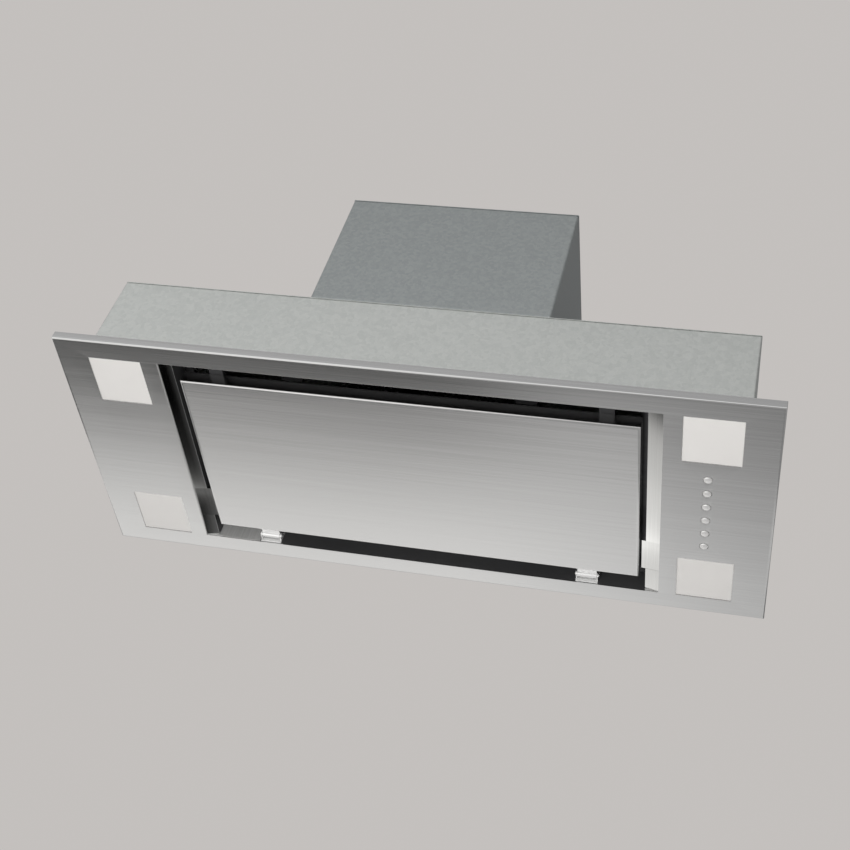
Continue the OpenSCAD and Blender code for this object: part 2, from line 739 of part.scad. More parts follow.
// A component of width w that stands on the control board
module on_board(w, y, d, h)
  span(board_x - board_t - w, board_x - board_t / 2, y, y + d, control_mid - h / 2, control_mid + h / 2);
module control_board() color(board_green) {
  y1 = control_d / 2 - board_in;
  span(board_x - board_t, board_x, -y1, y1, control_z + board_in, control_z + control_h - board_in);
  on_board(transformer[0], -y1 + board_in, transformer[1], transformer[2]);
  for (y = [-0.5, 0.8] * relay[1]) on_board(relay[0], y, relay[1], relay[2]);
  on_board(terminals[0], y1 - board_in - terminals[1], terminals[1], terminals[2]);
}

module cable_gland() color(black) {
  at = [[gland_x, gland_y]];
  z0 = wall_top - gland_down;
  difference() {
    union() {
      rods(at, gland_thread_r, z0, roof_z + gland_hex_h);
      rods(at, gland_thread_r + 1, roof_z + gland_hex_h - cut, roof_z + gland_up);
      translate([gland_x, gland_y, roof_z]) cylinder(r = gland_nut_r, h = gland_hex_h, $fn = 6);
    }
    rods(at, gland_r, z0 - cut, roof_z + gland_up + cut);
  }
  // Locknut under the roof
  difference() {
    translate([gland_x, gland_y, wall_top - gland_hex_h]) cylinder(r = gland_nut_r, h = gland_hex_h, $fn = 6);
    rods(at, gland_thread_r + run_gap, wall_top - gland_hex_h - cut, wall_top + cut);
  }
}

// A lead along a list of points, with a round elbow at each
module lead(points) {
  for (i = [0 : len(points) - 2]) {
    v = points[i + 1] - points[i];
    translate(points[i]) rotate([0, acos(v[2] / norm(v)), atan2(v[1], v[0])])
      cylinder(r = lead_r, h = norm(v));
  }
  for (i = [1 : len(points) - 2]) translate(points[i]) sphere(r = lead_r + move_gap);
}
module wiring_loom() color([0.2, 0.2, 0.22]) {
  lead([[lead_x, motor_lead_y, lead_out_z], [lead_x, motor_lead_y, motor_lead_z],
    [motor_lead_x, motor_lead_y, motor_lead_z], [motor_lead_x, motor_lead_y, axis_z],
    [motor_x1 + boss_l, motor_lead_y, axis_z]]);
  lead([[lead_x, lamp_lead_y, lead_out_z], [lead_x, lamp_lead_y, lamp_lead_z],
    [-lamp_x, lamp_lead_y, lamp_lead_z], [-lamp_x, lamp_lead_y, lead_low],
    [-lamp_x, lamp_y, lead_low], [-lamp_x, lamp_y, tray_top]]);
  lead([[-lamp_x, lamp_lead_y, lead_low], [-lamp_x, -lamp_y, lead_low], [-lamp_x, -lamp_y, tray_top]]);
  for (y = [-1, 1]) lead([[lamp_x, y * lamp_y, tray_top], [lamp_x, y * lamp_y, lead_low],
    [lead_x, y * tray_lead_y, lead_low], [lead_x, y * tray_lead_y, control_z]]);
  lead([[button_x, 0, board_z + board_t], [button_x, 0, lead_low], [lead_x, 0, lead_low],
    [lead_x, 0, control_z]]);
}

// The places of the four lamps: right or left, back or front
module at_lamp(right, back) right_side(right) back_side(back) translate([lamp_x, lamp_y, 0]) children();
module lamp_tray(right, back) color(galvanised) at_lamp(right, back) difference() {
  y0 = -lamp_d / 2 - tray_out;
  y1 = lamp_d / 2 + tray_near;
  union() {
    difference() {
      span(-tray_half, tray_half, y0, y1, plate_top, tray_top);
      span(-tray_half + tray_t, tray_half - tray_t, y0 + tray_t, y1 - tray_t, plate_top - cut,
        tray_top - tray_t);
    }
    // Frame that holds the window down
    difference() {
      span(-tray_half + 0.1, tray_half - 0.1, y0 + 0.1, y1 - 0.1, plate_top + lens_t + seat_gap,
        plate_top + lens_t + seat_gap + tray_t);
      span(-lamp_w / 2, lamp_w / 2, -lamp_d / 2, lamp_d / 2 - 1, plate_top, tray_top);
    }
    span(-tray_tab_w / 2, tray_tab_w / 2, y0 - tray_tab, y0 + tray_t, plate_top, plate_top + tray_t);
  }
  translate([0, y0 - tray_tab / 2, plate_top - cut]) cylinder(r = stud_r + seat_gap, h = 4 * cut);
}
module lamp_window(right, back) color(off_white) at_lamp(right, back) {
  block(lamp_w - 2 * move_gap, lamp_d - 2 * move_gap, plate_t - lamp_recess + lens_t / 2,
    face_z + lamp_recess);
  span(-lamp_w / 2 - lens_grip, lamp_w / 2 + lens_grip, -lamp_d / 2 - lens_grip, lamp_d / 2 - move_gap,
    plate_top, plate_top + lens_t);
}
module led_boards() color(board_green)
  for (right = [true, false], back = [true, false]) at_lamp(right, back) led_board();
module led_board() {
  board_under = tray_top - tray_t - led_t;
  block(lamp_w - led_side, lamp_d - led_side, led_t, board_under);
  for (x = [-1, 1], y = [-1, 1]) translate([x * lamp_w / 5, y * lamp_d / 5, 0])
    block(led_side, led_side, led_t + 0.4, board_under - led_t);
}

function button_points() = [for (i = [0 : 5]) [button_x, (i - 2.5) * button_pitch]];
module button(number) color(aluminium) translate([button_x, (number - 3.5) * button_pitch, 0]) {
  dome_h = 0.9;
  dome_r = (pow(button_d / 2, 2) + dome_h * dome_h) / (2 * dome_h);
  intersection() {
    cylinder(r = button_d / 2, h = plate_top + 1);
    translate([0, 0, dome_r]) sphere(r = dome_r);
  }
  translate([0, 0, plate_top + move_gap]) cylinder(r = button_d / 2 + collar_out, h = button_collar_t);
  translate([0, 0, plate_top + move_gap]) cylinder(r = stem_r, h = stem_top - plate_top - move_gap);
}
module button_guide() color(black) difference() {
  post_w = 4;
  union() {
    translate([button_x, 0, 0]) block(guide_w, 2 * guide_half, guide_h, plate_top);
    // Posts that carry the key board
    for (x = [-1, 1]) translate([button_x + x * (guide_w / 2 - post_w), 0, 0])
      block(post_w, 2 * post_w, board_z - plate_top, plate_top);
  }
  rods(button_points(), button_d / 2 + collar_out + move_gap, plate_top - cut,
    plate_top + button_collar_t + button_travel + 3 * move_gap);
  rods(button_points(), stem_r + move_gap, plate_top - cut, plate_top + guide_h + cut);
  rods(guide_studs, stud_r + seat_gap, plate_top - cut, plate_top + guide_h + cut);
}
module key_board() color(board_green) {
  translate([button_x, 0, 0]) block(guide_w, 2 * guide_half - board_in, board_t, board_z);
  for (p = button_points()) translate([p[0], p[1], 0])
    block(2 * stem_r, 2 * stem_r, switch_h + board_t / 2, board_z - switch_h);
}

module panel_skin() color(steel) difference() {
  block(panel_w, panel_d, panel_rim, face_z);
  block(panel_w - 2 * panel_t, panel_d - 2 * panel_t, panel_rim, face_z + panel_t);
}
module panel_core() color(galvanised) {
  w = panel_w - 2 * (panel_t + seat_gap);
  d = panel_d - 2 * (panel_t + seat_gap);
  z1 = panel_top - 1;
  rib_d = d - 2 * rib_end;
  difference() {
    block(w, d, core_edge, z1 - core_edge);
    block(w - 2 * core_t, d - 2 * core_t, core_edge, z1 - core_edge - core_t);
  }
  // Stiffening channels down to the skin
  for (x = [-rib_x, rib_x]) translate([x, 0, 0]) difference() {
    block(rib_w, rib_d, z1 - face_z - panel_t, face_z + panel_t);
    block(rib_w - 2 * core_t, d, z1 - face_z - panel_t - core_t / 2, face_z + panel_t + core_t);
  }
}

module hinge_leaf(right) color(steel) right_side(right) translate([hinge_x, 0, 0]) {
  half = ear_in - move_gap;
  y0 = panel_d / 2;
  difference() {
    union() {
      span(-half, half, y0, y0 + hinge_t, face_z + 2, panel_top - 2);
      span(-half, half, y0 + hinge_t / 2, hinge_y, hinge_z - hinge_t / 2, hinge_z + hinge_t / 2);
      x_rod(knuckle_r, -half, half, hinge_y, hinge_z);
    }
    x_rod(hinge_pin_r + run_gap, -half - cut, half + cut, hinge_y, hinge_z);
  }
}
module hinge_bracket(right) color(steel) right_side(right) translate([hinge_x, 0, 0]) difference() {
  union() {
    span(-hinge_w / 2, hinge_w / 2, throat_y - hinge_t, throat_y, face_z + plate_t + 0.5, lip_z - 1);
    for (s = [-1, 1]) translate([s * (hinge_w - hinge_t) / 2, 0, 0]) {
      span(-hinge_t / 2, hinge_t / 2, hinge_y, throat_y - hinge_t / 2,
        hinge_z - knuckle_r, hinge_z + knuckle_r);
      x_rod(knuckle_r, -hinge_t / 2, hinge_t / 2, hinge_y, hinge_z);
    }
  }
  x_rod(hinge_pin_r + tight_gap, -hinge_w, hinge_w, hinge_y, hinge_z);
}
module hinge_pins() color(steel) for (x = [-hinge_x, hinge_x])
  x_rod(hinge_pin_r, x - hinge_w / 2 - 1, x + hinge_w / 2 + 1, hinge_y, hinge_z);
module magnet_catches() color(black) for (x = [-catch_x, catch_x])
  span(x - catch_w / 2, x + catch_w / 2, -throat_y, -panel_d / 2 + catch_over, catch_z, catch_z + catch_h);

module nut(p, z) translate([p[0], p[1], z]) difference() {
  cylinder(r = nut_r, h = nut_h, $fn = 6);
  translate([0, 0, -cut]) cylinder(r = stud_r + run_gap, h = nut_h + 2 * cut);
}
module screw(length) {
  cylinder(r = head_r, h = head_h);
  translate([0, 0, -length]) cylinder(r = screw_r, h = length + head_h / 2);
}
module fasteners() color(aluminium) {
  for (p = box_studs) nut(p, plate_top + box_t);
  for (p = ledge_studs) nut(p, plate_top + ledge_t);
  for (p = lamp_studs) nut(p, plate_top + tray_t);
  for (p = guide_studs) nut(p, plate_top + guide_h);
  for (p = roof_screws) translate([p[0], p[1], roof_z]) screw(screw_l);
  for (p = foot_screws) translate([p[0], p[1], roof_z + housing_t]) screw(screw_l);
  for (p = top_screws) translate([p[0], p[1], top_z]) screw(screw_l);
  for (p = outlet_screws) translate([p[0], p[1], top_z + collar_flange_t]) screw(screw_l + collar_flange_t);
  on_axis(motor_x1 + bracket_t) at_mounts() screw(bracket_t + mount_h - seat_gap / 2);
}

face_plate();
chassis_box();
box_top();
bay_wall(false);  // bay_wall_left
bay_wall(true);  // bay_wall_right
side_ledge(false);  // side_ledge_left
side_ledge(true);  // side_ledge_right
rear_corners();
throat_liner();
filter_frame(false);  // filter_frame_left
filter_frame(true);  // filter_frame_right
filter_mesh(false);  // filter_mesh_left
filter_mesh(true);  // filter_mesh_right
filter_latch(false);  // filter_latch_left
filter_latch(true);  // filter_latch_right
motor_housing();
housing_top();
outlet_collar();
damper_pin();
damper_flap_front();
damper_flap_back();
fan_scroll();
inlet_rings();
motor_bracket();
fan_motor();
motor_mounts();
impeller();
motor_shaft();
run_capacitor();
control_box();
control_lid();
control_board();
cable_gland();
wiring_loom();
lamp_tray(false, false);  // lamp_tray_front_left
lamp_tray(true, false);  // lamp_tray_front_right
lamp_tray(false, true);  // lamp_tray_back_left
lamp_tray(true, true);  // lamp_tray_back_right
lamp_window(false, false);  // lamp_window_front_left
lamp_window(true, false);  // lamp_window_front_right
lamp_window(false, true);  // lamp_window_back_left
lamp_window(true, true);  // lamp_window_back_right
led_boards();
button(1);  // button_1
button(2);  // button_2
button(3);  // button_3
button(4);  // button_4
button(5);  // button_5
button(6);  // button_6
button_guide();
key_board();
panel_skin();
panel_core();
hinge_leaf(false);  // hinge_leaf_left
hinge_leaf(true);  // hinge_leaf_right
hinge_bracket(false);  // hinge_bracket_left
hinge_bracket(true);  // hinge_bracket_right
hinge_pins();
magnet_catches();
fasteners();
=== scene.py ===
import math

import bmesh
import bpy
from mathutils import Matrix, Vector


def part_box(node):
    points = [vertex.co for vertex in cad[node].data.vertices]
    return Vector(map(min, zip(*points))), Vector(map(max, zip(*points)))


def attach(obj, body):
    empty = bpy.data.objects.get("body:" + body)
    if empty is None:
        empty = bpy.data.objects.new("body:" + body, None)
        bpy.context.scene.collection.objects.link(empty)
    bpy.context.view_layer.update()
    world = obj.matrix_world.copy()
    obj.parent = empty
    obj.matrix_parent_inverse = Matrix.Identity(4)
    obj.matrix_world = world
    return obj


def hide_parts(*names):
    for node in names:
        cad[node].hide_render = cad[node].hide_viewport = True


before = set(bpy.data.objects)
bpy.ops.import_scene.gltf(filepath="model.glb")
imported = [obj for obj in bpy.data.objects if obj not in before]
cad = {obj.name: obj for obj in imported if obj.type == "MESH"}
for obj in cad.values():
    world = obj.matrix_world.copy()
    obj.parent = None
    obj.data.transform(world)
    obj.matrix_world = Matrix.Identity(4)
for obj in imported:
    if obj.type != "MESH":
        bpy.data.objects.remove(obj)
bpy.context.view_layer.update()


# Face plate: 1 mm stainless sheet, brushed along its width and folded up into a rim all round.
# It is cut for the suction opening, four lamps and six buttons; the cut edges are deburred, and
# threaded studs are welded to its hidden side.
weld = 1e-6


def outline(half_w, half_d, radius, at=(0.0, 0.0), steps=5):
    """Points of a rectangle with round corners, anticlockwise; a circle where all sizes are equal."""
    radius = max(radius, 1e-7)
    points = []
    for quarter, (sx, sy) in enumerate(((1, 1), (-1, 1), (-1, -1), (1, -1))):
        for i in range(steps + 1):
            a = math.radians(90 * (quarter + i / steps))
            points.append(
                (
                    at[0] + sx * (half_w - radius) + radius * math.cos(a),
                    at[1] + sy * (half_d - radius) + radius * math.sin(a),
                )
            )
    return points


def ring(bm, points, z):
    return [bm.verts.new((x, y, z)) for x, y in points]


def band(bm, rings, closed=False):
    """Quads between each ring and the next; closed joins the last one to the first."""
    pairs = list(zip(rings, rings[1:])) + ([(rings[-1], rings[0])] if closed else [])
    for a, b in pairs:
        for i in range(len(a)):
            j = (i + 1) % len(a)
            bm.faces.new((a[i], a[j], b[j], b[i]))


def fill_level(bm, z):
    """Closes a flat face at height z between all open edges there, holes left open."""
    bmesh.ops.remove_doubles(bm, verts=bm.verts, dist=weld)
    edges = [e for e in bm.edges if e.is_boundary and all(abs(v.co.z - z) < weld for v in e.verts)]
    bmesh.ops.triangle_fill(bm, edges=edges, use_beauty=True, normal=(0, 0, 1))


def sheet_faces(path, thick, inside, steps=5):
    """The two faces of a bent sheet in section. path is the sheet's middle, corner by corner."""
    path = [Vector(p) for p in path]
    line = []
    for i, p in enumerate(path):
        before = (p - path[i - 1]).normalized() if i else (path[1] - p).normalized()
        if i in (0, len(path) - 1):
            line.append((p, before))
            continue
        after = (path[i + 1] - p).normalized()
        turn = math.atan2(before.x * after.y - before.y * after.x, before.dot(after))
        radius = inside + thick / 2
        side = 1 if turn > 0 else -1
        start = p - before * radius * math.tan(abs(turn) / 2)
        centre = start + Vector((-before.y, before.x)) * side * radius
        for k in range(steps + 1):
            a = math.atan2(before.y, before.x) + turn * k / steps
            way = Vector((math.cos(a), math.sin(a)))
            line.append((centre - Vector((-way.y, way.x)) * side * radius, way))
    normal = [Vector((-d.y, d.x)) * thick / 2 for _, d in line]
    left = [p + n for (p, _), n in zip(line, normal)]
    right = [p - n for (p, _), n in zip(line, normal)]
    return left, right, line


def round_end(left, right, way, edge):
    """Rounds the free edge of a sheet at the end that way points to; gives the points across it."""
    across = (left[-1] - right[-1]).normalized()
    tip = [left[-1] - across * edge, right[-1] + across * edge]
    left[-1] = left[-1] - way * edge
    right[-1] = right[-1] - way * edge
    return tip


def finished(name, bm, finish, body="hood", node=None):
    """Closes a mesh, shades its bends softly and its cuts sharply, and puts it on its body."""
    bmesh.ops.remove_doubles(bm, verts=bm.verts, dist=weld)
    bmesh.ops.dissolve_degenerate(bm, edges=bm.edges, dist=1e-7)
    bmesh.ops.recalc_face_normals(bm, faces=bm.faces)
    mesh = bpy.data.meshes.new(name)
    bm.to_mesh(mesh)
    bm.free()
    return placed(name, mesh, finish, body, node)


def placed(name, mesh, finish, body="hood", node=None):
    """Makes the piece of a mesh, with shading weighted by face size so that flats stay flat."""
    mesh.polygons.foreach_set("use_smooth", [True] * len(mesh.polygons))
    mesh.set_sharp_from_angle(angle=math.radians(50))
    piece = bpy.data.objects.new(name, mesh)
    bpy.context.scene.collection.objects.link(piece)
    even = piece.modifiers.new("even_shading", "WEIGHTED_NORMAL")
    even.keep_sharp = True
    even.weight = 100
    baked = bpy.data.meshes.new_from_object(piece.evaluated_get(bpy.context.evaluated_depsgraph_get()))
    piece.modifiers.clear()
    piece.data = baked
    bpy.data.meshes.remove(mesh)
    baked.name = name
    baked.materials.clear()
    baked.materials.append(finish)
    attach(piece, body)
    if node:
        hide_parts(*([node] if isinstance(node, str) else node))
    return piece


# Parts of a sheet's thickness: rounding of a free edge, of a tray's corner, and of a cut
round_share, corner_share, deburr_share = 0.25, 0.6, 0.2
deburr_steps = ((1, 0), (0.3, 0.3), (0, 1))


def cut_edge(bm, half_w, half_d, radius, at, z, thick, steps=5, side=1):
    """A deburred cut through a sheet: the edge of a hole, or with side -1 the sheet's outer edge."""
    deburr = thick * deburr_share
    levels = [(side * g * deburr, z + h * deburr) for g, h in deburr_steps]
    levels += [(side * g * deburr, z + thick - h * deburr) for g, h in deburr_steps[::-1]]
    band(bm, [ring(bm, outline(half_w + g, half_d + g, radius + g, at, steps), h) for g, h in levels])


def tray(half_w, half_d, z, thick, top, inside, holes):
    """Sheet folded up on four sides, with cut-outs given as half width, half depth, radius, place."""
    bm = bmesh.new()
    flat = inside + thick + 0.001
    path = [(flat, z + thick / 2), (thick / 2, z + thick / 2), (thick / 2, top)]
    left, right, line = sheet_faces(path, thick, inside)
    tip = round_end(left, right, line[-1][1], thick * round_share)
    loop = left + tip + right[::-1]
    corner = thick * corner_share
    band(bm, [ring(bm, outline(half_w - i, half_d - i, corner - i), h) for i, h in loop])
    for hole in holes:
        cut_edge(bm, *hole, z, thick)
    fill_level(bm, z)
    fill_level(bm, z + thick)
    return bm


def add(tree, kind, inputs=None, **settings):
    """Adds a node; an input that is given as a socket is linked to it."""
    made = tree.nodes.new(kind)
    for name, value in settings.items():
        setattr(made, name, value)
    for socket, value in (inputs or {}).items():
        if isinstance(value, bpy.types.NodeSocket):
            tree.links.new(value, made.inputs[socket])
        else:
            made.inputs[socket].default_value = value
    return made


def effect_group(name, inputs, outputs):
    """An empty shader node group with named sockets, and its input and output nodes."""
    group = bpy.data.node_groups.new(name, "ShaderNodeTree")
    for socket, (kind, value) in inputs.items():
        made = group.interface.new_socket(socket, in_out="INPUT", socket_type=kind)
        made.default_value = value
    for socket in outputs:
        group.interface.new_socket(socket, in_out="OUTPUT", socket_type="NodeSocketFloat")
    return group, group.nodes.new("NodeGroupInput"), group.nodes.new("NodeGroupOutput")


# Lines per metre along each axis make the brushing; a stretched copy makes its broader bands
brush_lines, given, result = effect_group(
    "brush_lines",
    {"Lines": ("NodeSocketVector", (6.0, 2600.0, 2600.0)), "Bands": ("NodeSocketFloat", 0.35)},
    ("Tone", "Height"),
)
place = add(brush_lines, "ShaderNodeTexCoord")
fine_at = add(
    brush_lines,
    "ShaderNodeVectorMath",
    {0: place.outputs["Object"], 1: given.outputs["Lines"]},
    operation="MULTIPLY",
)
band_at = add(
    brush_lines,
    "ShaderNodeVectorMath",
    {0: fine_at.outputs[0], 1: (0.3, 0.08, 0.08)},
    operation="MULTIPLY",
)
fine = add(
    brush_lines,
    "ShaderNodeTexNoise",
    {"Vector": fine_at.outputs[0], "Scale": 1.0, "Detail": 2.0, "Roughness": 0.6},
)
broad = add(
    brush_lines,
    "ShaderNodeTexNoise",
    {"Vector": band_at.outputs[0], "Scale": 1.0, "Detail": 3.0, "Roughness": 0.5},
)
tone = add(
    brush_lines,
    "ShaderNodeMix",
    {"Factor": given.outputs["Bands"], 2: fine.outputs["Fac"], 3: broad.outputs["Fac"]},
    data_type="FLOAT",
)
brush_lines.links.new(tone.outputs[0], result.inputs["Tone"])
brush_lines.links.new(fine.outputs["Fac"], result.inputs["Height"])


tone_low, tone_high = 0.3, 0.7


def metal_finish(name, group, values, dark, light, rough, bump, metallic=1.0):
    """A metal whose colour and roughness follow the Tone of an effect group, and bump its Height."""
    finish = bpy.data.materials.new(name)
    finish.use_nodes = True
    tree = finish.node_tree
    tree.nodes.clear()
    effect = add(tree, "ShaderNodeGroup", node_tree=group)
    for socket, value in values.items():
        effect.inputs[socket].default_value = value
    ramp = add(tree, "ShaderNodeValToRGB", {"Fac": effect.outputs["Tone"]})
    for mark, position, colour in zip(ramp.color_ramp.elements, (tone_low, tone_high), (dark, light)):
        mark.position = position
        mark.color = (*colour, 1)
    spread = add(
        tree,
        "ShaderNodeMapRange",
        {
            "Value": effect.outputs["Tone"],
            "From Min": tone_low,
            "From Max": tone_high,
            "To Min": rough[0],
            "To Max": rough[1],
        },
    )
    relief = add(
        tree,
        "ShaderNodeBump",
        {"Height": effect.outputs["Height"], "Strength": bump[0], "Distance": bump[1]},
    )
    shader = add(
        tree,
        "ShaderNodeBsdfPrincipled",
        {
            "Base Color": ramp.outputs["Color"],
            "Metallic": metallic,
            "Roughness": spread.outputs["Result"],
            "Normal": relief.outputs["Normal"],
        },
    )
    add(tree, "ShaderNodeOutputMaterial", {"Surface": shader.outputs["BSDF"]})
    return finish


plate_steel = metal_finish(
    "plate_brushed_steel",
    brush_lines,
    {"Lines": (3.0, 850.0, 850.0), "Bands": 0.2},
    dark=(0.57, 0.57, 0.567),
    light=(0.65, 0.65, 0.647),
    rough=(0.14, 0.175),
    bump=(0.35, 0.00001),
)
plate_low, plate_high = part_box("face_plate")
sheet = 0.001
plate_bend = 0.001
plate_face = plate_low.z
rim_height = 0.012
rim_top = plate_face + rim_height
opening = (0.300, 0.154)
opening_corner = 0.0006
lamp_place = (0.355, 0.1185)
lamp_cut = (0.0335, 0.035)
lamp_corner = 0.0008
button_hole = 0.0055
button_spots = [(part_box(f"button_{i}")[0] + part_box(f"button_{i}")[1]) / 2 for i in range(1, 7)]
cuts = [(*opening, opening_corner, (0, 0))]
for x, y in ((-1, -1), (-1, 1), (1, -1), (1, 1)):
    cuts.append((*lamp_cut, lamp_corner, (x * lamp_place[0], y * lamp_place[1])))
cuts += [(button_hole, button_hole, button_hole, (spot.x, spot.y)) for spot in button_spots]
finished(
    "face_plate_sheet",
    tray(plate_high.x, plate_high.y, plate_face, sheet, rim_top, plate_bend, cuts),
    plate_steel,
    node="face_plate",
)


# Suction panel: a second tray of the same steel that hangs in the opening with a gap all round.
# Its bends have a larger radius, and they catch the light along the front edge. Its steel is set
# lighter than the plate's, as painted light on the panel.
# Lighter base colour than the plate's steel: painted light on the panel
panel_lit_steel = metal_finish(
    "panel_lit_brushed_steel",
    brush_lines,
    {"Lines": (2.5, 800.0, 800.0), "Bands": 0.2},
    dark=(0.655, 0.653, 0.649),
    light=(0.738, 0.736, 0.732),
    rough=(0.165, 0.215),
    bump=(0.35, 0.00001),
)
panel_bend = 0.0015
panel_low, panel_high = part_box("panel_skin")
finished(
    "panel_tray",
    tray(panel_high.x, panel_high.y, panel_low.z, sheet, panel_high.z, panel_bend, []),
    panel_lit_steel,
    body="panel",
    node="panel_skin",
)


# Side ledges and rear corner pieces: polished stainless strips, folded with a foot that is nutted
# to the plate. The shelf rises towards the panel, is wider and sags a little over its last 50 mm,
# and a seam parts it from the corner piece behind it.
ledge_steel = metal_finish(
    "ledge_polished_steel",
    brush_lines,
    {"Lines": (1500.0, 9.0, 1500.0), "Bands": 0.4},
    dark=(0.62, 0.62, 0.61),
    light=(0.70, 0.70, 0.69),
    rough=(0.03, 0.055),
    bump=(0.10, 0.00001),
)


web_foot, web_top = 0.0036, 0.0039


def bar(bm, loop, stations, mirrored=False):
    """A length of folded sheet along Y; a station is its place in Y and how far the shelf sags."""
    side = -1 if mirrored else 1
    rings = []
    for y, sag in stations:
        points = []
        for x, z in loop:
            share = min(1.0, max(0.0, (z - web_foot) / (web_top - web_foot)))
            points.append(bm.verts.new((side * x, y, z - sag * share)))
        rings.append(points)
    band(bm, rings)
    for end in (rings[0], rings[-1]):
        bm.faces.new(end)


def strip_section(path, thick=sheet, inside=0.0003):
    """Closed outline of a bent sheet with both free edges rounded."""
    left, right, line = sheet_faces(path, thick, inside, steps=4)
    end = round_end(left, right, line[-1][1], thick * round_share)
    left.reverse()
    right.reverse()
    start = round_end(left, right, -line[0][1], thick * round_share)
    left.reverse()
    right.reverse()
    return left + end + right[::-1] + start[::-1]


# Section from the shelf's inner edge over the web to the end of the foot
ledge_path = [(0.283, 0.0065), (0.3005, 0.00445), (0.3005, 0.003), (0.3115, 0.003)]
wide_path = [(0.278, 0.00709)] + ledge_path[1:]
seam, seam_gap = 0.115, 0.0006
ledge_front, ledge_back = -0.1539, 0.1540
wide_start, wide_step, wide_sag = seam - 0.050, 0.010, 0.000024
sagging = [(wide_start + wide_step * k, wide_sag * k * k) for k in range(6)]
for name, mirrored in (("side_ledge_left", True), ("side_ledge_right", False)):
    bm = bmesh.new()
    bar(bm, strip_section(ledge_path), [(ledge_front, 0), (wide_start, 0)], mirrored)
    bar(bm, strip_section(wide_path), sagging, mirrored)
    finished(name + "_strip", bm, ledge_steel, node=name)
pitched = [(seam + seam_gap, 0.0003), (ledge_back, 0.00128)]
bm = bmesh.new()
for mirrored in (True, False):
    bar(bm, strip_section(ledge_path), pitched, mirrored)
finished("rear_corner_strips", bm, ledge_steel, node="rear_corners")
tab_steel = metal_finish(
    "tab_satin_steel",
    brush_lines,
    {"Lines": (1500.0, 1500.0, 30.0), "Bands": 0.5},
    dark=(0.50, 0.50, 0.49),
    light=(0.66, 0.66, 0.65),
    rough=(0.45, 0.60),
    bump=(0.2, 0.00001),
    metallic=0.4,
)

# Turned-down end of each corner piece and the upright tab of the left one: X and top at both ends
turned_down = [(-0.300, 0.0030, -0.2832, 0.0050), (0.2832, 0.0050, 0.300, 0.0030)]
upright_tab = (-0.2830, 0.0255, -0.2252, 0.0255)
tab_foot = 0.0027
bm = bmesh.new()
for x0, top0, x1, top1 in turned_down + [upright_tab]:
    rings = []
    for x, top in ((x0, top0), (x1, top1)):
        front = ledge_back - sheet
        section = ((front, tab_foot), (ledge_back, tab_foot), (ledge_back, top), (front, top))
        rings.append([bm.verts.new((x, y, z)) for y, z in section])
    band(bm, rings)
    for end in rings:
        bm.faces.new(end)
finished("rear_corner_tab", bm, tab_steel, node="rear_corners")


# Throat liner: folded sheet that closes the way up to the filters; its black stands partly for
# black paint and partly for painted shade deep in the throat. The paint is a thin satin coat with a
# slight orange peel.
paint_skin, given, result = effect_group(
    "paint_skin",
    {"Grains": ("NodeSocketFloat", 900.0), "Wear": ("NodeSocketFloat", 14.0)},
    ("Tone", "Height"),
)
place = add(paint_skin, "ShaderNodeTexCoord")
grains = add(
    paint_skin,
    "ShaderNodeTexNoise",
    {"Vector": place.outputs["Object"], "Scale": given.outputs["Grains"], "Detail": 2.0, "Roughness": 0.5},
)
clouds = add(
    paint_skin,
    "ShaderNodeTexNoise",
    {"Vector": place.outputs["Object"], "Scale": given.outputs["Wear"], "Detail": 4.0, "Roughness": 0.6},
)
both = add(
    paint_skin,
    "ShaderNodeMix",
    {"Factor": 0.6, 2: grains.outputs["Fac"], 3: clouds.outputs["Fac"]},
    data_type="FLOAT",
)
paint_skin.links.new(both.outputs[0], result.inputs["Tone"])
paint_skin.links.new(grains.outputs["Fac"], result.inputs["Height"])


def coat(nodes, finish):
    """Gives CAD nodes that stay in view their material."""
    for node in nodes:
        cad[node].data.materials.clear()
        cad[node].data.materials.append(finish)


# Near-black liner colour: black paint, and painted shade of the deep throat
liner_black_and_shade = metal_finish(
    "liner_black_paint",
    paint_skin,
    {"Grains": 1200.0, "Wear": 9.0},
    dark=(0.034, 0.034, 0.035),
    light=(0.050, 0.050, 0.051),
    rough=(0.38, 0.52),
    bump=(0.3, 0.00005),
    metallic=0.0,
)
coat(["throat_liner"], liner_black_and_shade)


# Lamps: an opal window held down by the frame of a galvanised tray, and a board of four diodes.
# The window's edge is rounded, and the white sheet has a faint satin grain.
window_edge = 0.0004
opal_depth = 0.004


def dressed(node, rounding, finish, body="hood", steps=2):
    """Copy of a CAD node with its edges rounded, which then stands for the node."""
    bm = bmesh.new()
    bm.from_mesh(cad[node].data)
    bmesh.ops.remove_doubles(bm, verts=bm.verts, dist=weld)
    bmesh.ops.dissolve_limit(bm, angle_limit=math.radians(1), verts=bm.verts, edges=bm.edges)
    mesh = bpy.data.meshes.new(node + "_blank")
    bm.to_mesh(mesh)
    bm.free()
    blank = bpy.data.objects.new(node + "_blank", mesh)
    bpy.context.scene.collection.objects.link(blank)
    edges = blank.modifiers.new("edges", "BEVEL")
    edges.width = rounding
    edges.segments = steps
    edges.limit_method = "ANGLE"
    edges.angle_limit = math.radians(40)
    formed = bpy.data.meshes.new_from_object(blank.evaluated_get(bpy.context.evaluated_depsgraph_get()))
    bpy.data.objects.remove(blank)
    return placed(node + "_formed", formed, finish, body, node)


opal = metal_finish(
    "lamp_opal_sheet",
    paint_skin,
    {"Grains": 2500.0, "Wear": 20.0},
    dark=(0.69, 0.675, 0.655),
    light=(0.72, 0.705, 0.685),
    rough=(0.30, 0.36),
    bump=(0.08, 0.00003),
    metallic=0.0,
)
opal_shader = opal.node_tree.nodes["Principled BSDF"]
opal_shader.inputs["Subsurface Weight"].default_value = 0.15
opal_shader.inputs["Subsurface Radius"].default_value = (opal_depth, opal_depth, opal_depth)
corners = ("front_left", "front_right", "back_left", "back_right")
for corner in corners:
    dressed("lamp_window_" + corner, window_edge, opal, steps=3)

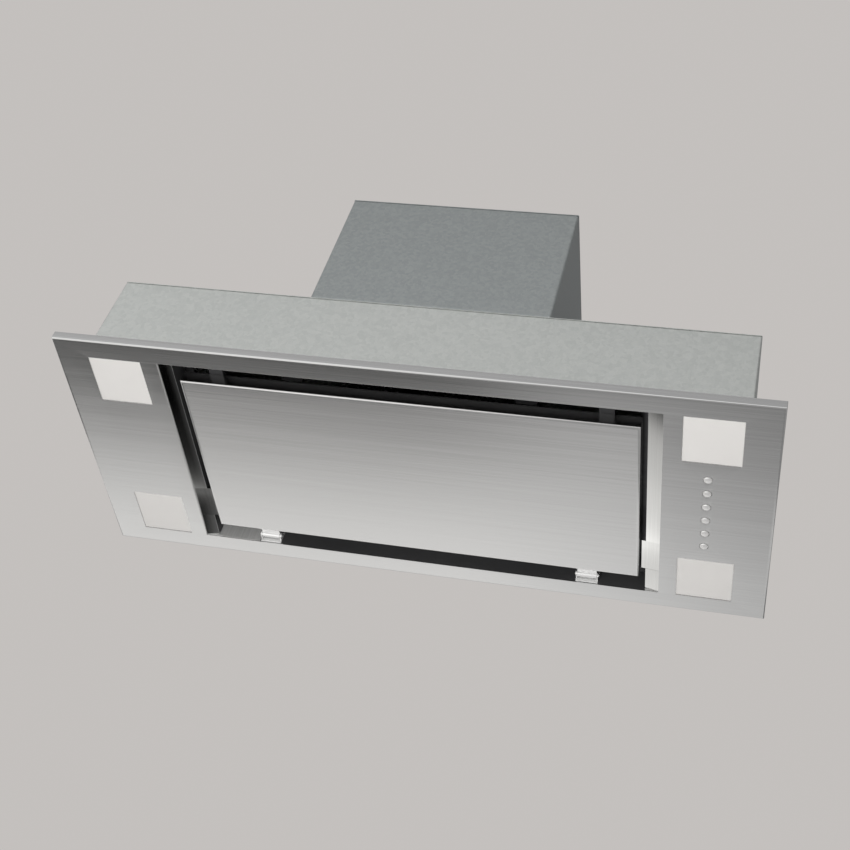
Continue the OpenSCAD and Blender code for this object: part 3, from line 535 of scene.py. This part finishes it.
# Zinc crystals of hot-dip galvanised sheet, with a fine bloom over them
zinc_spangle, given, result = effect_group(
    "zinc_spangle",
    {"Crystals": ("NodeSocketFloat", 160.0), "Bloom": ("NodeSocketFloat", 500.0)},
    ("Tone", "Height"),
)
place = add(zinc_spangle, "ShaderNodeTexCoord")
stray = add(
    zinc_spangle,
    "ShaderNodeTexNoise",
    {"Vector": place.outputs["Object"], "Scale": 90.0, "Detail": 2.0},
)
bent = add(
    zinc_spangle,
    "ShaderNodeVectorMath",
    {0: stray.outputs["Color"], 1: (0.006, 0.006, 0.006), 2: place.outputs["Object"]},
    operation="MULTIPLY_ADD",
)
crystals = add(
    zinc_spangle, "ShaderNodeTexVoronoi", {"Vector": bent.outputs[0], "Scale": given.outputs["Crystals"]}
)
each = add(zinc_spangle, "ShaderNodeSeparateColor", {"Color": crystals.outputs["Color"]})
bloom = add(
    zinc_spangle,
    "ShaderNodeTexNoise",
    {"Vector": place.outputs["Object"], "Scale": given.outputs["Bloom"], "Detail": 4.0, "Roughness": 0.7},
)
mixed = add(
    zinc_spangle,
    "ShaderNodeMix",
    {"Factor": 0.32, 2: bloom.outputs["Fac"], 3: each.outputs[0]},
    data_type="FLOAT",
)
zinc_spangle.links.new(mixed.outputs[0], result.inputs["Tone"])
zinc_spangle.links.new(bloom.outputs["Fac"], result.inputs["Height"])
zinc_sheet = metal_finish(
    "zinc_sheet",
    zinc_spangle,
    {"Crystals": 210.0, "Bloom": 650.0},
    dark=(0.635, 0.655, 0.635),
    light=(0.735, 0.75, 0.73),
    rough=(0.46, 0.60),
    bump=(0.25, 0.00004),
)
coat(["lamp_tray_" + corner for corner in corners], zinc_sheet)
board_green = metal_finish(
    "board_green_lacquer",
    paint_skin,
    {"Grains": 700.0, "Wear": 60.0},
    dark=(0.012, 0.085, 0.035),
    light=(0.02, 0.12, 0.05),
    rough=(0.25, 0.35),
    bump=(0.2, 0.00003),
    metallic=0.0,
)
coat(["led_boards", "key_board", "control_board"], board_green)


# Push buttons: six turned and polished metal caps, domed, each in its own hole of the plate with
# a narrow dark gap round it. The cap's collar stops under the plate and its stem works a switch.
# The guide block behind them and the control box with its lid are black mouldings.
button_polish = metal_finish(
    "button_polished_metal",
    brush_lines,
    {"Lines": (700.0, 700.0, 700.0), "Bands": 0.3},
    dark=(0.88, 0.87, 0.86),
    light=(0.94, 0.935, 0.93),
    rough=(0.38, 0.46),
    bump=(0.05, 0.00001),
    metallic=0.8,
)
cap_radius, cap_rise = 0.005, 0.0009
dome_radius = (cap_radius**2 + cap_rise**2) / (2 * cap_rise)
dome_steps = (0, 0.001, 0.002, 0.003, 0.0036, 0.0040)
dome = [(r, dome_radius - math.sqrt(dome_radius**2 - r * r)) for r in dome_steps]
shoulder = [(0.0043, 0.0007), (0.0046, 0.0009), (0.00485, 0.0012), (0.005, 0.0017), (0.005, 0.0028)]
stem = [(0.007, 0.0028), (0.007, 0.0043), (0.003, 0.0043), (0.003, 0.017), (0, 0.017)]


def turned(bm, profile, at, steps=12):
    """A lathe-turned piece about an upright axis; profile is radius and height from foot to top."""
    band(bm, [ring(bm, outline(r, r, r, at, steps), z) for r, z in profile])


for i, spot in enumerate(button_spots, 1):
    bm = bmesh.new()
    turned(bm, dome + shoulder + stem, (spot.x, spot.y))
    finished(f"button_cap_{i}", bm, button_polish, body=f"button_{i}", node=f"button_{i}")
black_moulding = metal_finish(
    "black_moulding",
    paint_skin,
    {"Grains": 1500.0, "Wear": 25.0},
    dark=(0.016, 0.016, 0.017),
    light=(0.03, 0.03, 0.031),
    rough=(0.42, 0.55),
    bump=(0.35, 0.00006),
    metallic=0.0,
)
coat(["button_guide", "control_box", "control_lid"], black_moulding)


# Hinges, catches and pins: short bright steel brackets in the throat, leaves on the panel and two
# pins, and black magnet catches at the front. The panel is closed inside by a galvanised sheet.
hinge_bright = metal_finish(
    "hinge_bright_steel",
    brush_lines,
    {"Lines": (900.0, 900.0, 12.0), "Bands": 0.4},
    dark=(0.86, 0.86, 0.86),
    light=(0.93, 0.93, 0.92),
    rough=(0.20, 0.28),
    bump=(0.2, 0.00001),
    metallic=0.6,
)
thin_edge, moulded_edge = 0.0003, 0.0006
for side in ("left", "right"):
    dressed("hinge_leaf_" + side, thin_edge, hinge_bright, body="panel")
    dressed("hinge_bracket_" + side, thin_edge, hinge_bright)
coat(["hinge_pins", "damper_pin", "motor_shaft"], hinge_bright)
dressed("magnet_catches", moulded_edge, black_moulding)
coat(["panel_core"], zinc_sheet)


# Grease filters: an aluminium frame, set near black as painted shade of the deep throat, round two
# layers of expanded aluminium, with a sliding latch. The layers are cut and stretched sheet, so each
# is a lattice of slanting diamonds.
# Near-black frame colour: painted shade where the filters sit deep in the throat
filter_frame = metal_finish(
    "filter_frame_painted_shade",
    brush_lines,
    {"Lines": (12.0, 1600.0, 1600.0), "Bands": 0.4},
    dark=(0.10, 0.10, 0.105),
    light=(0.16, 0.16, 0.165),
    rough=(0.30, 0.40),
    bump=(0.3, 0.00001),
)
filter_net = metal_finish(
    "filter_net_aluminium",
    paint_skin,
    {"Grains": 2000.0, "Wear": 30.0},
    dark=(0.58, 0.585, 0.59),
    light=(0.72, 0.725, 0.73),
    rough=(0.28, 0.40),
    bump=(0.2, 0.00002),
)


def geometry_tree(name, inputs):
    """An empty Geometry Nodes tree with named inputs, and its input and output nodes."""
    tree = bpy.data.node_groups.new(name, "GeometryNodeTree")
    for socket, (kind, value) in inputs.items():
        made = tree.interface.new_socket(socket, in_out="INPUT", socket_type=kind)
        if value is not None:
            made.default_value = value
    tree.interface.new_socket("Geometry", in_out="OUTPUT", socket_type="NodeSocketGeometry")
    return tree, tree.nodes.new("NodeGroupInput"), tree.nodes.new("NodeGroupOutput")


def grown(name, tree, base, values):
    """Runs a Geometry Nodes tree on a base mesh and gives the plain mesh that it makes."""
    seed = bpy.data.objects.new(name + "_seed", base)
    bpy.context.scene.collection.objects.link(seed)
    grow = seed.modifiers.new("grow", "NODES")
    grow.node_group = tree
    for item in tree.interface.items_tree:
        if item.item_type == "SOCKET" and item.in_out == "INPUT" and item.name in values:
            grow[item.identifier] = values[item.name]
    mesh = bpy.data.meshes.new_from_object(seed.evaluated_get(bpy.context.evaluated_depsgraph_get()))
    seed.modifiers.clear()
    bpy.data.objects.remove(seed)
    return mesh


lattice, given, result = geometry_tree(
    "expanded_sheet",
    {
        "Geometry": ("NodeSocketGeometry", None),
        "Strands": ("NodeSocketInt", 90),
        "Spacing": ("NodeSocketFloat", 0.003),
        "Steps": ("NodeSocketInt", 50),
        "Step": ("NodeSocketFloat", 0.005),
        "Width": ("NodeSocketFloat", 0.0009),
        "Thickness": ("NodeSocketFloat", 0.0005),
        "Start": ("NodeSocketVector", (0.0, 0.0, 0.0)),
        "Finish": ("NodeSocketMaterial", None),
    },
)
along = add(lattice, "ShaderNodeCombineXYZ", {"Y": given.outputs["Step"]})
strand = add(
    lattice,
    "GeometryNodeMeshLine",
    {"Count": given.outputs["Steps"], "Offset": along.outputs[0]},
    mode="OFFSET",
)
number = add(lattice, "GeometryNodeInputIndex")
odd = add(lattice, "ShaderNodeMath", {0: number.outputs[0], 1: 2.0}, operation="MODULO")
swing = add(lattice, "ShaderNodeMath", {0: odd.outputs[0], 1: 0.5}, operation="SUBTRACT")
reach = add(
    lattice,
    "ShaderNodeMath",
    {0: swing.outputs[0], 1: given.outputs["Spacing"]},
    operation="MULTIPLY",
)
tilt = add(
    lattice,
    "ShaderNodeMath",
    {0: swing.outputs[0], 1: given.outputs["Thickness"]},
    operation="MULTIPLY",
)
aside = add(lattice, "ShaderNodeCombineXYZ", {"X": reach.outputs[0], "Z": tilt.outputs[0]})
zigzag = add(
    lattice, "GeometryNodeSetPosition", {"Geometry": strand.outputs[0], "Offset": aside.outputs[0]}
)
wire = add(lattice, "GeometryNodeMeshToCurve", {"Mesh": zigzag.outputs[0]})
cross = add(
    lattice,
    "GeometryNodeCurvePrimitiveQuadrilateral",
    {"Width": given.outputs["Width"], "Height": given.outputs["Thickness"]},
)
solid = add(
    lattice,
    "GeometryNodeCurveToMesh",
    {"Curve": wire.outputs[0], "Profile Curve": cross.outputs[0], "Fill Caps": True},
)
beside = add(lattice, "ShaderNodeCombineXYZ", {"X": given.outputs["Spacing"]})
rows = add(
    lattice,
    "GeometryNodeMeshLine",
    {
        "Count": given.outputs["Strands"],
        "Start Location": given.outputs["Start"],
        "Offset": beside.outputs[0],
    },
    mode="OFFSET",
)
shift = add(
    lattice,
    "ShaderNodeMath",
    {0: odd.outputs[0], 1: given.outputs["Step"]},
    operation="MULTIPLY",
)
stagger = add(lattice, "ShaderNodeCombineXYZ", {"Y": shift.outputs[0]})
staggered = add(
    lattice,
    "GeometryNodeSetPosition",
    {"Geometry": rows.outputs[0], "Offset": stagger.outputs[0]},
)
laid = add(
    lattice, "GeometryNodeInstanceOnPoints", {"Points": staggered.outputs[0], "Instance": solid.outputs[0]}
)
real = add(lattice, "GeometryNodeRealizeInstances", {"Geometry": laid.outputs[0]})
painted = add(
    lattice, "GeometryNodeSetMaterial", {"Geometry": real.outputs[0], "Material": given.outputs["Finish"]}
)
lattice.links.new(painted.outputs[0], result.inputs["Geometry"])

spacing, usual_step = 0.0034, 0.0052
strand_width, strand_thickness = 0.0009, 0.0005
edge, first_strand, layer_depth = 0.002, 0.003, 0.0012
for side in ("left", "right"):
    dressed("filter_frame_" + side, thin_edge, filter_frame)
    low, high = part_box("filter_mesh_" + side)
    strands = int((high.x - low.x - 2 * edge) / spacing)
    steps = int((high.y - low.y - 2 * edge) / usual_step)
    step = (high.y - low.y - 2 * edge) / steps
    layers = []
    for height in (low.z + layer_depth, high.z - layer_depth):
        layers.append(
            grown(
                "filter_layer",
                lattice,
                bpy.data.meshes.new("filter_layer_seed"),
                {
                    "Strands": strands,
                    "Spacing": spacing,
                    "Steps": steps,
                    "Step": step,
                    "Width": strand_width,
                    "Thickness": strand_thickness,
                    "Start": (low.x + first_strand, low.y + edge, height),
                    "Finish": filter_net,
                },
            )
        )
    bm = bmesh.new()
    for layer in layers:
        bm.from_mesh(layer)
        bpy.data.meshes.remove(layer)
    finished("filter_net_" + side, bm, filter_net, node="filter_mesh_" + side)
    dressed("filter_latch_" + side, thin_edge, black_moulding, body="latch_" + side)


# Box: galvanised sheet folded round the corners, with a foot flange that is nutted to the plate
# and a lip for the roof sheet. The roof has the hole of the housing, four hanging holes and a
# moulded cable gland, and two inner walls part the side bays off.
box_low, box_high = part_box("chassis_box")


def wrapped(path, half_w, half_d, corner, thick=sheet, inside=sheet):
    """A folded section carried round a rectangle: inset and height of the sheet's middle."""
    bm = bmesh.new()
    loop = strip_section(path, thick, inside)
    band(bm, [ring(bm, outline(half_w - i, half_d - i, corner - i), z) for i, z in loop], closed=True)
    return bm


foot, roof_lip, box_corner = 0.012, 0.016, 0.0022
wall = (box_high.x - foot, box_high.y - foot)
mid = sheet / 2
finished(
    "box_walls",
    wrapped(
        [
            (-foot, box_low.z + mid),
            (mid, box_low.z + mid),
            (mid, box_high.z - mid),
            (roof_lip, box_high.z - mid),
        ],
        *wall,
        box_corner,
    ),
    zinc_sheet,
    node="chassis_box",
)


sheet_corner = 0.0015


def flat_sheet(half_w, half_d, z, thick, holes):
    """A flat sheet with rounded cut edges and holes."""
    bm = bmesh.new()
    cut_edge(bm, half_w, half_d, sheet_corner, (0, 0), z, thick, steps=8, side=-1)
    for hole in holes:
        cut_edge(bm, *hole, z, thick, steps=8)
    fill_level(bm, z)
    fill_level(bm, z + thick)
    return bm


roof_low, roof_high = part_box("box_top")
gland_low, gland_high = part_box("cable_gland")
gland_at = ((gland_low.x + gland_high.x) / 2, (gland_low.y + gland_high.y) / 2)
gland_hole = 0.0102
hanging_hole, hanging_place = 0.003, (0.350, 0.110)
housing_opening = (0.135, 0.141, 0.001)
roof_holes = []
for x, y in ((-1, -1), (-1, 1), (1, -1), (1, 1)):
    at = (x * hanging_place[0], y * hanging_place[1])
    roof_holes.append((hanging_hole, hanging_hole, hanging_hole, at))
roof_holes += [(gland_hole, gland_hole, gland_hole, gland_at), (*housing_opening, (0, 0))]
finished(
    "box_roof",
    flat_sheet(roof_high.x, roof_high.y, roof_low.z, sheet, roof_holes),
    zinc_sheet,
    node="box_top",
)
coat(["bay_wall_left", "bay_wall_right"], zinc_sheet)
gland_edge = 0.0005
dressed("cable_gland", gland_edge, black_moulding)


# Motor housing: a deep box of bluish galvanised sheet on the roof, set darker than the box's zinc
# as painted shade, flanged inwards at both ends, with its own top sheet that carries the fan and the
# outlet collar.
# Bluish zinc, darker than the box's: the blue tint is the sheet's own, the darkness is painted shade
housing_shaded_zinc = metal_finish(
    "housing_blue_grey_zinc_painted_shade",
    zinc_spangle,
    {"Crystals": 260.0, "Bloom": 900.0},
    dark=(0.275, 0.297, 0.298),
    light=(0.335, 0.356, 0.357),
    rough=(0.34, 0.46),
    bump=(0.2, 0.00003),
    metallic=0.25,
)
housing_low, housing_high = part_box("motor_housing")
lip, housing_corner, housing_bend = 0.015, 0.003, 0.0012
finished(
    "housing_walls",
    wrapped(
        [
            (lip, housing_low.z + mid),
            (mid, housing_low.z + mid),
            (mid, housing_high.z - mid),
            (lip, housing_high.z - mid),
        ],
        housing_high.x,
        housing_high.y,
        housing_corner,
        inside=housing_bend,
    ),
    housing_shaded_zinc,
    node="motor_housing",
)
cover_low, cover_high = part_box("housing_top")
collar_low, collar_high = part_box("outlet_collar")
duct_hole = 0.073
duct_holes = [(duct_hole, duct_hole, duct_hole, (0, (collar_low.y + collar_high.y) / 2))]
finished(
    "housing_cover",
    flat_sheet(cover_high.x, cover_high.y, cover_low.z, sheet, duct_holes),
    housing_shaded_zinc,
    node="housing_top",
)


# Outlet: a moulded black collar for a round duct, screwed to the housing's top sheet, with two
# moulded damper flaps that swing up from one steel pin.
dressed("outlet_collar", moulded_edge, black_moulding)
for side in ("front", "back"):
    dressed("damper_flap_" + side, thin_edge, black_moulding, body=side + "_flap")


# Fan: a moulded casing with zinc-plated inlet rings round a wheel of rolled blades. The motor
# hangs on a three-armed bracket with rubber mounts, its run capacitor is clipped to the wall, and
# sheathed leads join the motor, the lamps and the key board to the control box.
casing_grey = metal_finish(
    "casing_grey_moulding",
    paint_skin,
    {"Grains": 1300.0, "Wear": 18.0},
    dark=(0.066, 0.069, 0.076),
    light=(0.085, 0.089, 0.096),
    rough=(0.45, 0.58),
    bump=(0.35, 0.00006),
    metallic=0.0,
)
motor_paint = metal_finish(
    "motor_dark_paint",
    paint_skin,
    {"Grains": 1100.0, "Wear": 12.0},
    dark=(0.085, 0.09, 0.10),
    light=(0.115, 0.12, 0.13),
    rough=(0.35, 0.48),
    bump=(0.25, 0.00005),
    metallic=0.3,
)
rubber = metal_finish(
    "mount_rubber",
    paint_skin,
    {"Grains": 1800.0, "Wear": 40.0},
    dark=(0.015, 0.015, 0.015),
    light=(0.028, 0.027, 0.026),
    rough=(0.7, 0.85),
    bump=(0.3, 0.00005),
    metallic=0.0,
)
can_white = metal_finish(
    "capacitor_white_can",
    paint_skin,
    {"Grains": 1600.0, "Wear": 30.0},
    dark=(0.62, 0.62, 0.60),
    light=(0.70, 0.70, 0.68),
    rough=(0.3, 0.4),
    bump=(0.1, 0.00003),
    metallic=0.0,
)
lead_sheath = metal_finish(
    "lead_grey_sheath",
    paint_skin,
    {"Grains": 2200.0, "Wear": 50.0},
    dark=(0.028, 0.029, 0.034),
    light=(0.045, 0.046, 0.052),
    rough=(0.4, 0.5),
    bump=(0.2, 0.00003),
    metallic=0.0,
)
coat(["fan_scroll"], casing_grey)
coat(["inlet_rings", "impeller", "motor_bracket"], zinc_sheet)
coat(["fan_motor"], motor_paint)
coat(["motor_mounts"], rubber)
coat(["run_capacitor"], can_white)
coat(["wiring_loom"], lead_sheath)


# Fasteners: flanged nuts on the welded studs, and pan-head sheet metal screws with a cross slot.
# All are zinc-plated and stand where the solids of the CAD node stand.
plated = metal_finish(
    "fastener_zinc_plate",
    paint_skin,
    {"Grains": 900.0, "Wear": 80.0},
    dark=(0.60, 0.60, 0.59),
    light=(0.74, 0.74, 0.72),
    rough=(0.25, 0.38),
    bump=(0.15, 0.00002),
)


def solids(node):
    """Lowest and highest corner of each separate solid in a CAD node."""
    bm = bmesh.new()
    bm.from_mesh(cad[node].data)
    bmesh.ops.remove_doubles(bm, verts=bm.verts, dist=weld)
    waiting, found = set(bm.verts), []
    while waiting:
        edge = [waiting.pop()]
        low, high = edge[0].co.copy(), edge[0].co.copy()
        while edge:
            here = edge.pop()
            low = Vector(map(min, low, here.co))
            high = Vector(map(max, high, here.co))
            for link in here.link_edges:
                other = link.other_vert(here)
                if other in waiting:
                    waiting.discard(other)
                    edge.append(other)
        found.append((low, high))
    bm.free()
    return found


nut_height, head_height = 0.0032, 0.0025
nuts, screws = [], []
for low, high in solids("fasteners"):
    size = high - low
    middle = (low + high) / 2
    if abs(size.z - nut_height) < 0.0003:
        nuts.append((middle.x, middle.y, low.z))
    else:
        screws.append((middle.x, middle.y, high.z - head_height))


def spots(points):
    mesh = bpy.data.meshes.new("fastener_spots")
    mesh.from_pydata(points, [], [])
    return mesh


def spread_tree(name):
    """Geometry Nodes that put one made part on every point of the base mesh."""
    tree, given, result = geometry_tree(
        name,
        {
            "Geometry": ("NodeSocketGeometry", None),
            "Part": ("NodeSocketObject", None),
            "Spin": ("NodeSocketFloat", 0.7),
            "Seed": ("NodeSocketInt", 5),
            "Finish": ("NodeSocketMaterial", None),
        },
    )
    part = add(tree, "GeometryNodeObjectInfo", {"Object": given.outputs["Part"]}, transform_space="ORIGINAL")
    chance = add(
        tree,
        "FunctionNodeRandomValue",
        {"Min": 0.0, "Max": given.outputs["Spin"], "Seed": given.outputs["Seed"]},
        data_type="FLOAT",
    )
    spin = add(tree, "ShaderNodeCombineXYZ", {"Z": chance.outputs["Value"]})
    set_down = add(
        tree,
        "GeometryNodeInstanceOnPoints",
        {
            "Points": given.outputs["Geometry"],
            "Instance": part.outputs["Geometry"],
            "Rotation": spin.outputs[0],
        },
    )
    real = add(tree, "GeometryNodeRealizeInstances", {"Geometry": set_down.outputs[0]})
    painted = add(
        tree, "GeometryNodeSetMaterial", {"Geometry": real.outputs[0], "Material": given.outputs["Finish"]}
    )
    tree.links.new(painted.outputs[0], result.inputs["Geometry"])
    return tree


def part_object(name, bm):
    """A part that stands aside until it has been set on its points."""
    bmesh.ops.remove_doubles(bm, verts=bm.verts, dist=weld)
    bmesh.ops.recalc_face_normals(bm, faces=bm.faces)
    mesh = bpy.data.meshes.new(name)
    bm.to_mesh(mesh)
    bm.free()
    part = bpy.data.objects.new(name, mesh)
    bpy.context.scene.collection.objects.link(part)
    return part


# Nut with a washer face and the end of its stud
washer_radius, washer_thick, nut_foot = 0.0042, 0.0004, 0.0036
nut_radius, bore_radius = 0.0040, 0.0023
stud_radius, thread_root, thread_pitch = 0.0020, 0.0018, 0.0004
stud_tip, stud_top = 0.0014, nut_height + 0.0012
washer = [(0, 0), (washer_radius, 0), (washer_radius, washer_thick), (nut_foot, washer_thick)]
flats = [(nut_foot, washer_thick), (nut_radius, 0.0006), (nut_radius, nut_height - 0.0004)]
flats += [(0.0035, nut_height), (bore_radius, nut_height)]
thread = [(bore_radius, nut_height), (stud_radius, nut_height)]
for k in range(3):
    turn = nut_height + thread_pitch * k
    thread += [(stud_radius, turn + 0.0001), (thread_root, turn + 0.0003)]
thread += [(stud_tip, stud_top), (0, stud_top)]
hexagon = [(math.cos(math.radians(60 * k + 30)), math.sin(math.radians(60 * k + 30))) for k in range(6)]
bm = bmesh.new()
turned(bm, washer, (0, 0), 4)
band(bm, [ring(bm, [(r * x, r * y) for x, y in hexagon], z) for r, z in flats])
turned(bm, thread, (0, 0), 4)
nut = part_object("nut_part", bm)

# Pan head with a sunk cross, set a little into its sheet
head_radius, head_top, head_sink = 0.0040, 0.0024, 0.0002
slot_w, slot_l, slot_floor, slot_taper = 0.0004, 0.0021, 0.0012, 0.72
head = [(0, -head_sink), (head_radius, -head_sink), (head_radius, 0), (head_radius, 0.0010)]
head += [(0.0038, 0.0016), (0.0033, 0.0021), (0.0024, head_top)]
bm = bmesh.new()
turned(bm, head, (0, 0), 5)
cross_points = []
for quarter in range(4):
    a = math.radians(90 * quarter)
    for x, y in ((slot_l, -slot_w), (slot_l, slot_w), (slot_w, slot_w)):
        cross_points.append((x * math.cos(a) - y * math.sin(a), x * math.sin(a) + y * math.cos(a)))
rim = ring(bm, cross_points, head_top)
deep = ring(bm, [(x * slot_taper, y * slot_taper) for x, y in cross_points], slot_floor)
band(bm, [rim, deep])
bm.faces.new(deep)
fill_level(bm, head_top)
screw = part_object("screw_part", bm)

spread = spread_tree("set_fasteners")
for name, part, points in (("stud_nuts", nut, nuts), ("sheet_screws", screw, screws)):
    made = grown(name, spread, spots(points), {"Part": part, "Spin": 1.5, "Seed": 5, "Finish": plated})
    placed(name, made, plated, node="fasteners")
for part in (nut, screw):
    bpy.data.objects.remove(part)


# Room: a pale floor far below, soft lamps in front and above, and a world that the metal mirrors.
# It is dark where a hob would lie and bright towards the back wall, as the reflections ask for.
backdrop_glow = 0.28
backdrop = (0.55, 0.528, 0.512, 1)


def stage_material(name, colour):
    """A matt tone that glows a little towards the camera alone."""
    finish = bpy.data.materials.new(name)
    finish.use_nodes = True
    shader = finish.node_tree.nodes["Principled BSDF"]
    shader.inputs["Base Color"].default_value = (*colour, 1)
    shader.inputs["Roughness"].default_value = 0.8
    shader.inputs["Emission Color"].default_value = (*colour, 1)
    seen_by = add(finish.node_tree, "ShaderNodeLightPath")
    glow = add(
        finish.node_tree,
        "ShaderNodeMath",
        {0: seen_by.outputs["Is Camera Ray"], 1: backdrop_glow},
        operation="MULTIPLY",
    )
    finish.node_tree.links.new(glow.outputs[0], shader.inputs["Emission Strength"])
    return finish


floor_reach, floor_height = 60, -2.6
floor_sides = ((-1, -1), (1, -1), (1, 1), (-1, 1))
floor_mesh = bpy.data.meshes.new("floor")
floor_corners = [(x * floor_reach, y * floor_reach, floor_height) for x, y in floor_sides]
floor_mesh.from_pydata(floor_corners, [], [(0, 1, 2, 3)])
floor_mesh.materials.append(stage_material("floor_pale", (0.80, 0.78, 0.765)))
floor = bpy.data.objects.new("floor", floor_mesh)
bpy.context.scene.collection.objects.link(floor)
floor.visible_glossy = False

for name, place, aim, size, power in (
    ("key", (-1.6, -2.6, 1.7), (0, 0, 0.1), 2.4, 10),
    ("low_fill", (0.0, -0.55, -1.05), (0, 0, 0), 1.0, 14),
    ("top_fill", (0.5, 1.2, 2.4), (0, 0, 0.2), 2.0, 10),
):
    lamp = bpy.data.lights.new(name, "AREA")
    lamp.size = size
    lamp.energy = power
    lamp_object = bpy.data.objects.new(name, lamp)
    lamp_object.location = place
    lamp_object.rotation_euler = (Vector(aim) - Vector(place)).to_track_quat("-Z", "Y").to_euler()
    lamp_object.visible_glossy = False
    lamp_object.visible_camera = False
    bpy.context.scene.collection.objects.link(lamp_object)

world = bpy.data.worlds.new("room")
bpy.context.scene.world = world
world.use_nodes = True
sky = world.node_tree
sky.nodes.clear()


def room_ramp(value, stops, low, high, tint=(1.0, 1.0, 1.0)):
    """Brightness of the mirrored room over a value that runs from low to high."""
    scaled = add(sky, "ShaderNodeMapRange", {"Value": value, "From Min": low, "From Max": high})
    ramp = add(sky, "ShaderNodeValToRGB", {"Fac": scaled.outputs["Result"]})
    marks = ramp.color_ramp.elements
    while len(marks) < len(stops):
        marks.new(0.5)
    for mark, (height, level) in zip(marks, stops):
        mark.position = (height - low) / (high - low)
        mark.color = (level * tint[0], level * tint[1], level * tint[2], 1)
    return ramp.outputs["Color"]


# Lower half, by how steeply a mirrored ray falls towards the back wall or towards the side wall
ray = add(sky, "ShaderNodeTexCoord")
ray_parts = add(sky, "ShaderNodeSeparateXYZ", {0: ray.outputs["Generated"]})
sink = add(sky, "ShaderNodeMath", {0: ray_parts.outputs["Z"], 1: -1.0}, operation="MULTIPLY")
least_sink = 0.02
depth = add(sky, "ShaderNodeMath", {0: sink.outputs[0], 1: least_sink}, operation="MAXIMUM")
back_slope = add(
    sky, "ShaderNodeMath", {0: ray_parts.outputs["Y"], 1: depth.outputs[0]}, operation="DIVIDE"
)
side_slope = add(
    sky, "ShaderNodeMath", {0: ray_parts.outputs["X"], 1: depth.outputs[0]}, operation="DIVIDE"
)
cook_side = [(-1.0, 0.90), (-0.7, 1.4), (-0.1, 1.4), (0.1, 0.9), (0.35, 0.40), (0.6, 0.36), (0.80, 0.30)]
hob = [(0.86, 0.0015), (0.92, 0.002), (0.945, 0.01), (0.98, 0.018), (0.995, 0.025), (1.01, 0.042)]
hob += [(1.025, 0.09), (1.035, 0.18), (1.04, 0.30), (1.06, 0.56), (1.08, 0.66), (1.12, 0.76)]
back_wall = [(1.155, 0.90), (1.19, 0.97), (1.215, 1.10), (1.235, 1.38), (1.31, 1.38)]
back_wall += [(1.34, 0.85), (2.0, 0.80)]
side_wall = [(0.8, 0.45), (0.97, 0.47), (1.05, 0.60), (1.15, 0.80), (1.3, 0.95)]
flattest, steepest = -1.0, 2.0
slope = back_slope.outputs[0]
middle_stops = cook_side + hob + back_wall
middle_room = room_ramp(slope, middle_stops, flattest, steepest, (1.0, 0.99, 0.975))
side_room = room_ramp(slope, side_wall, flattest, steepest, (1.0, 0.995, 0.99))
side_share = add(
    sky,
    "ShaderNodeMapRange",
    {"Value": side_slope.outputs[0], "From Min": -0.31, "From Max": -0.18, "To Min": 0.0, "To Max": 0.75},
)
low_room = add(
    sky,
    "ShaderNodeMix",
    {"Factor": side_share.outputs["Result"], 6: middle_room, 7: side_room},
    data_type="RGBA",
)
fading = add(
    sky,
    "ShaderNodeMapRange",
    {"Value": side_slope.outputs[0], "From Min": -0.15, "From Max": 0.02, "To Min": 1.0, "To Max": 0.74},
)
dimmed = add(
    sky,
    "ShaderNodeVectorMath",
    {0: low_room.outputs[2], "Scale": fading.outputs["Result"]},
    operation="SCALE",
)

# Upper half, brightest towards the window on the left in front
window_way = (-0.40, -0.90, -0.15)
window_glow = [(-0.5, 0.22), (0.3, 0.40), (0.617, 0.56), (0.8, 1.05), (1.0, 1.5)]
window = add(
    sky,
    "ShaderNodeVectorMath",
    {0: ray.outputs["Generated"], 1: window_way},
    operation="DOT_PRODUCT",
)
high_room = room_ramp(window.outputs["Value"], window_glow, -1.0, 1.0)
lowness = add(sky, "ShaderNodeMapRange", {"Value": sink.outputs[0], "From Min": 0.0, "From Max": 0.2})
mirrored_room = add(
    sky,
    "ShaderNodeMix",
    {"Factor": lowness.outputs["Result"], 6: high_room, 7: dimmed.outputs[0]},
    data_type="RGBA",
)
rays = add(sky, "ShaderNodeLightPath")
seen = add(sky, "ShaderNodeBackground", {"Color": backdrop})
lit = add(sky, "ShaderNodeBackground", {"Color": mirrored_room.outputs[2]})
chosen = add(
    sky,
    "ShaderNodeMixShader",
    {0: rays.outputs["Is Camera Ray"], 1: lit.outputs[0], 2: seen.outputs[0]},
)
add(sky, "ShaderNodeOutputWorld", {"Surface": chosen.outputs[0]})


# Camera: below and in front of the hood, a little to its right, with a long lens. Its place, turn
# and lens were fitted to where the corners of the hood lie in the photo.
view = bpy.data.cameras.new("view")
view.lens = 61.266
view.sensor_width = 36.0
view.shift_y = -0.00118
camera = bpy.data.objects.new("view", view)
camera.location = (0.41764, -1.26789, -1.14199)
camera.rotation_mode = "QUATERNION"
camera.rotation_quaternion = (0.378711, 0.916591, -0.0022366, 0.1281953)
bpy.context.scene.collection.objects.link(camera)
bpy.context.scene.camera = camera
bpy.context.scene.view_settings.view_transform = "Standard"
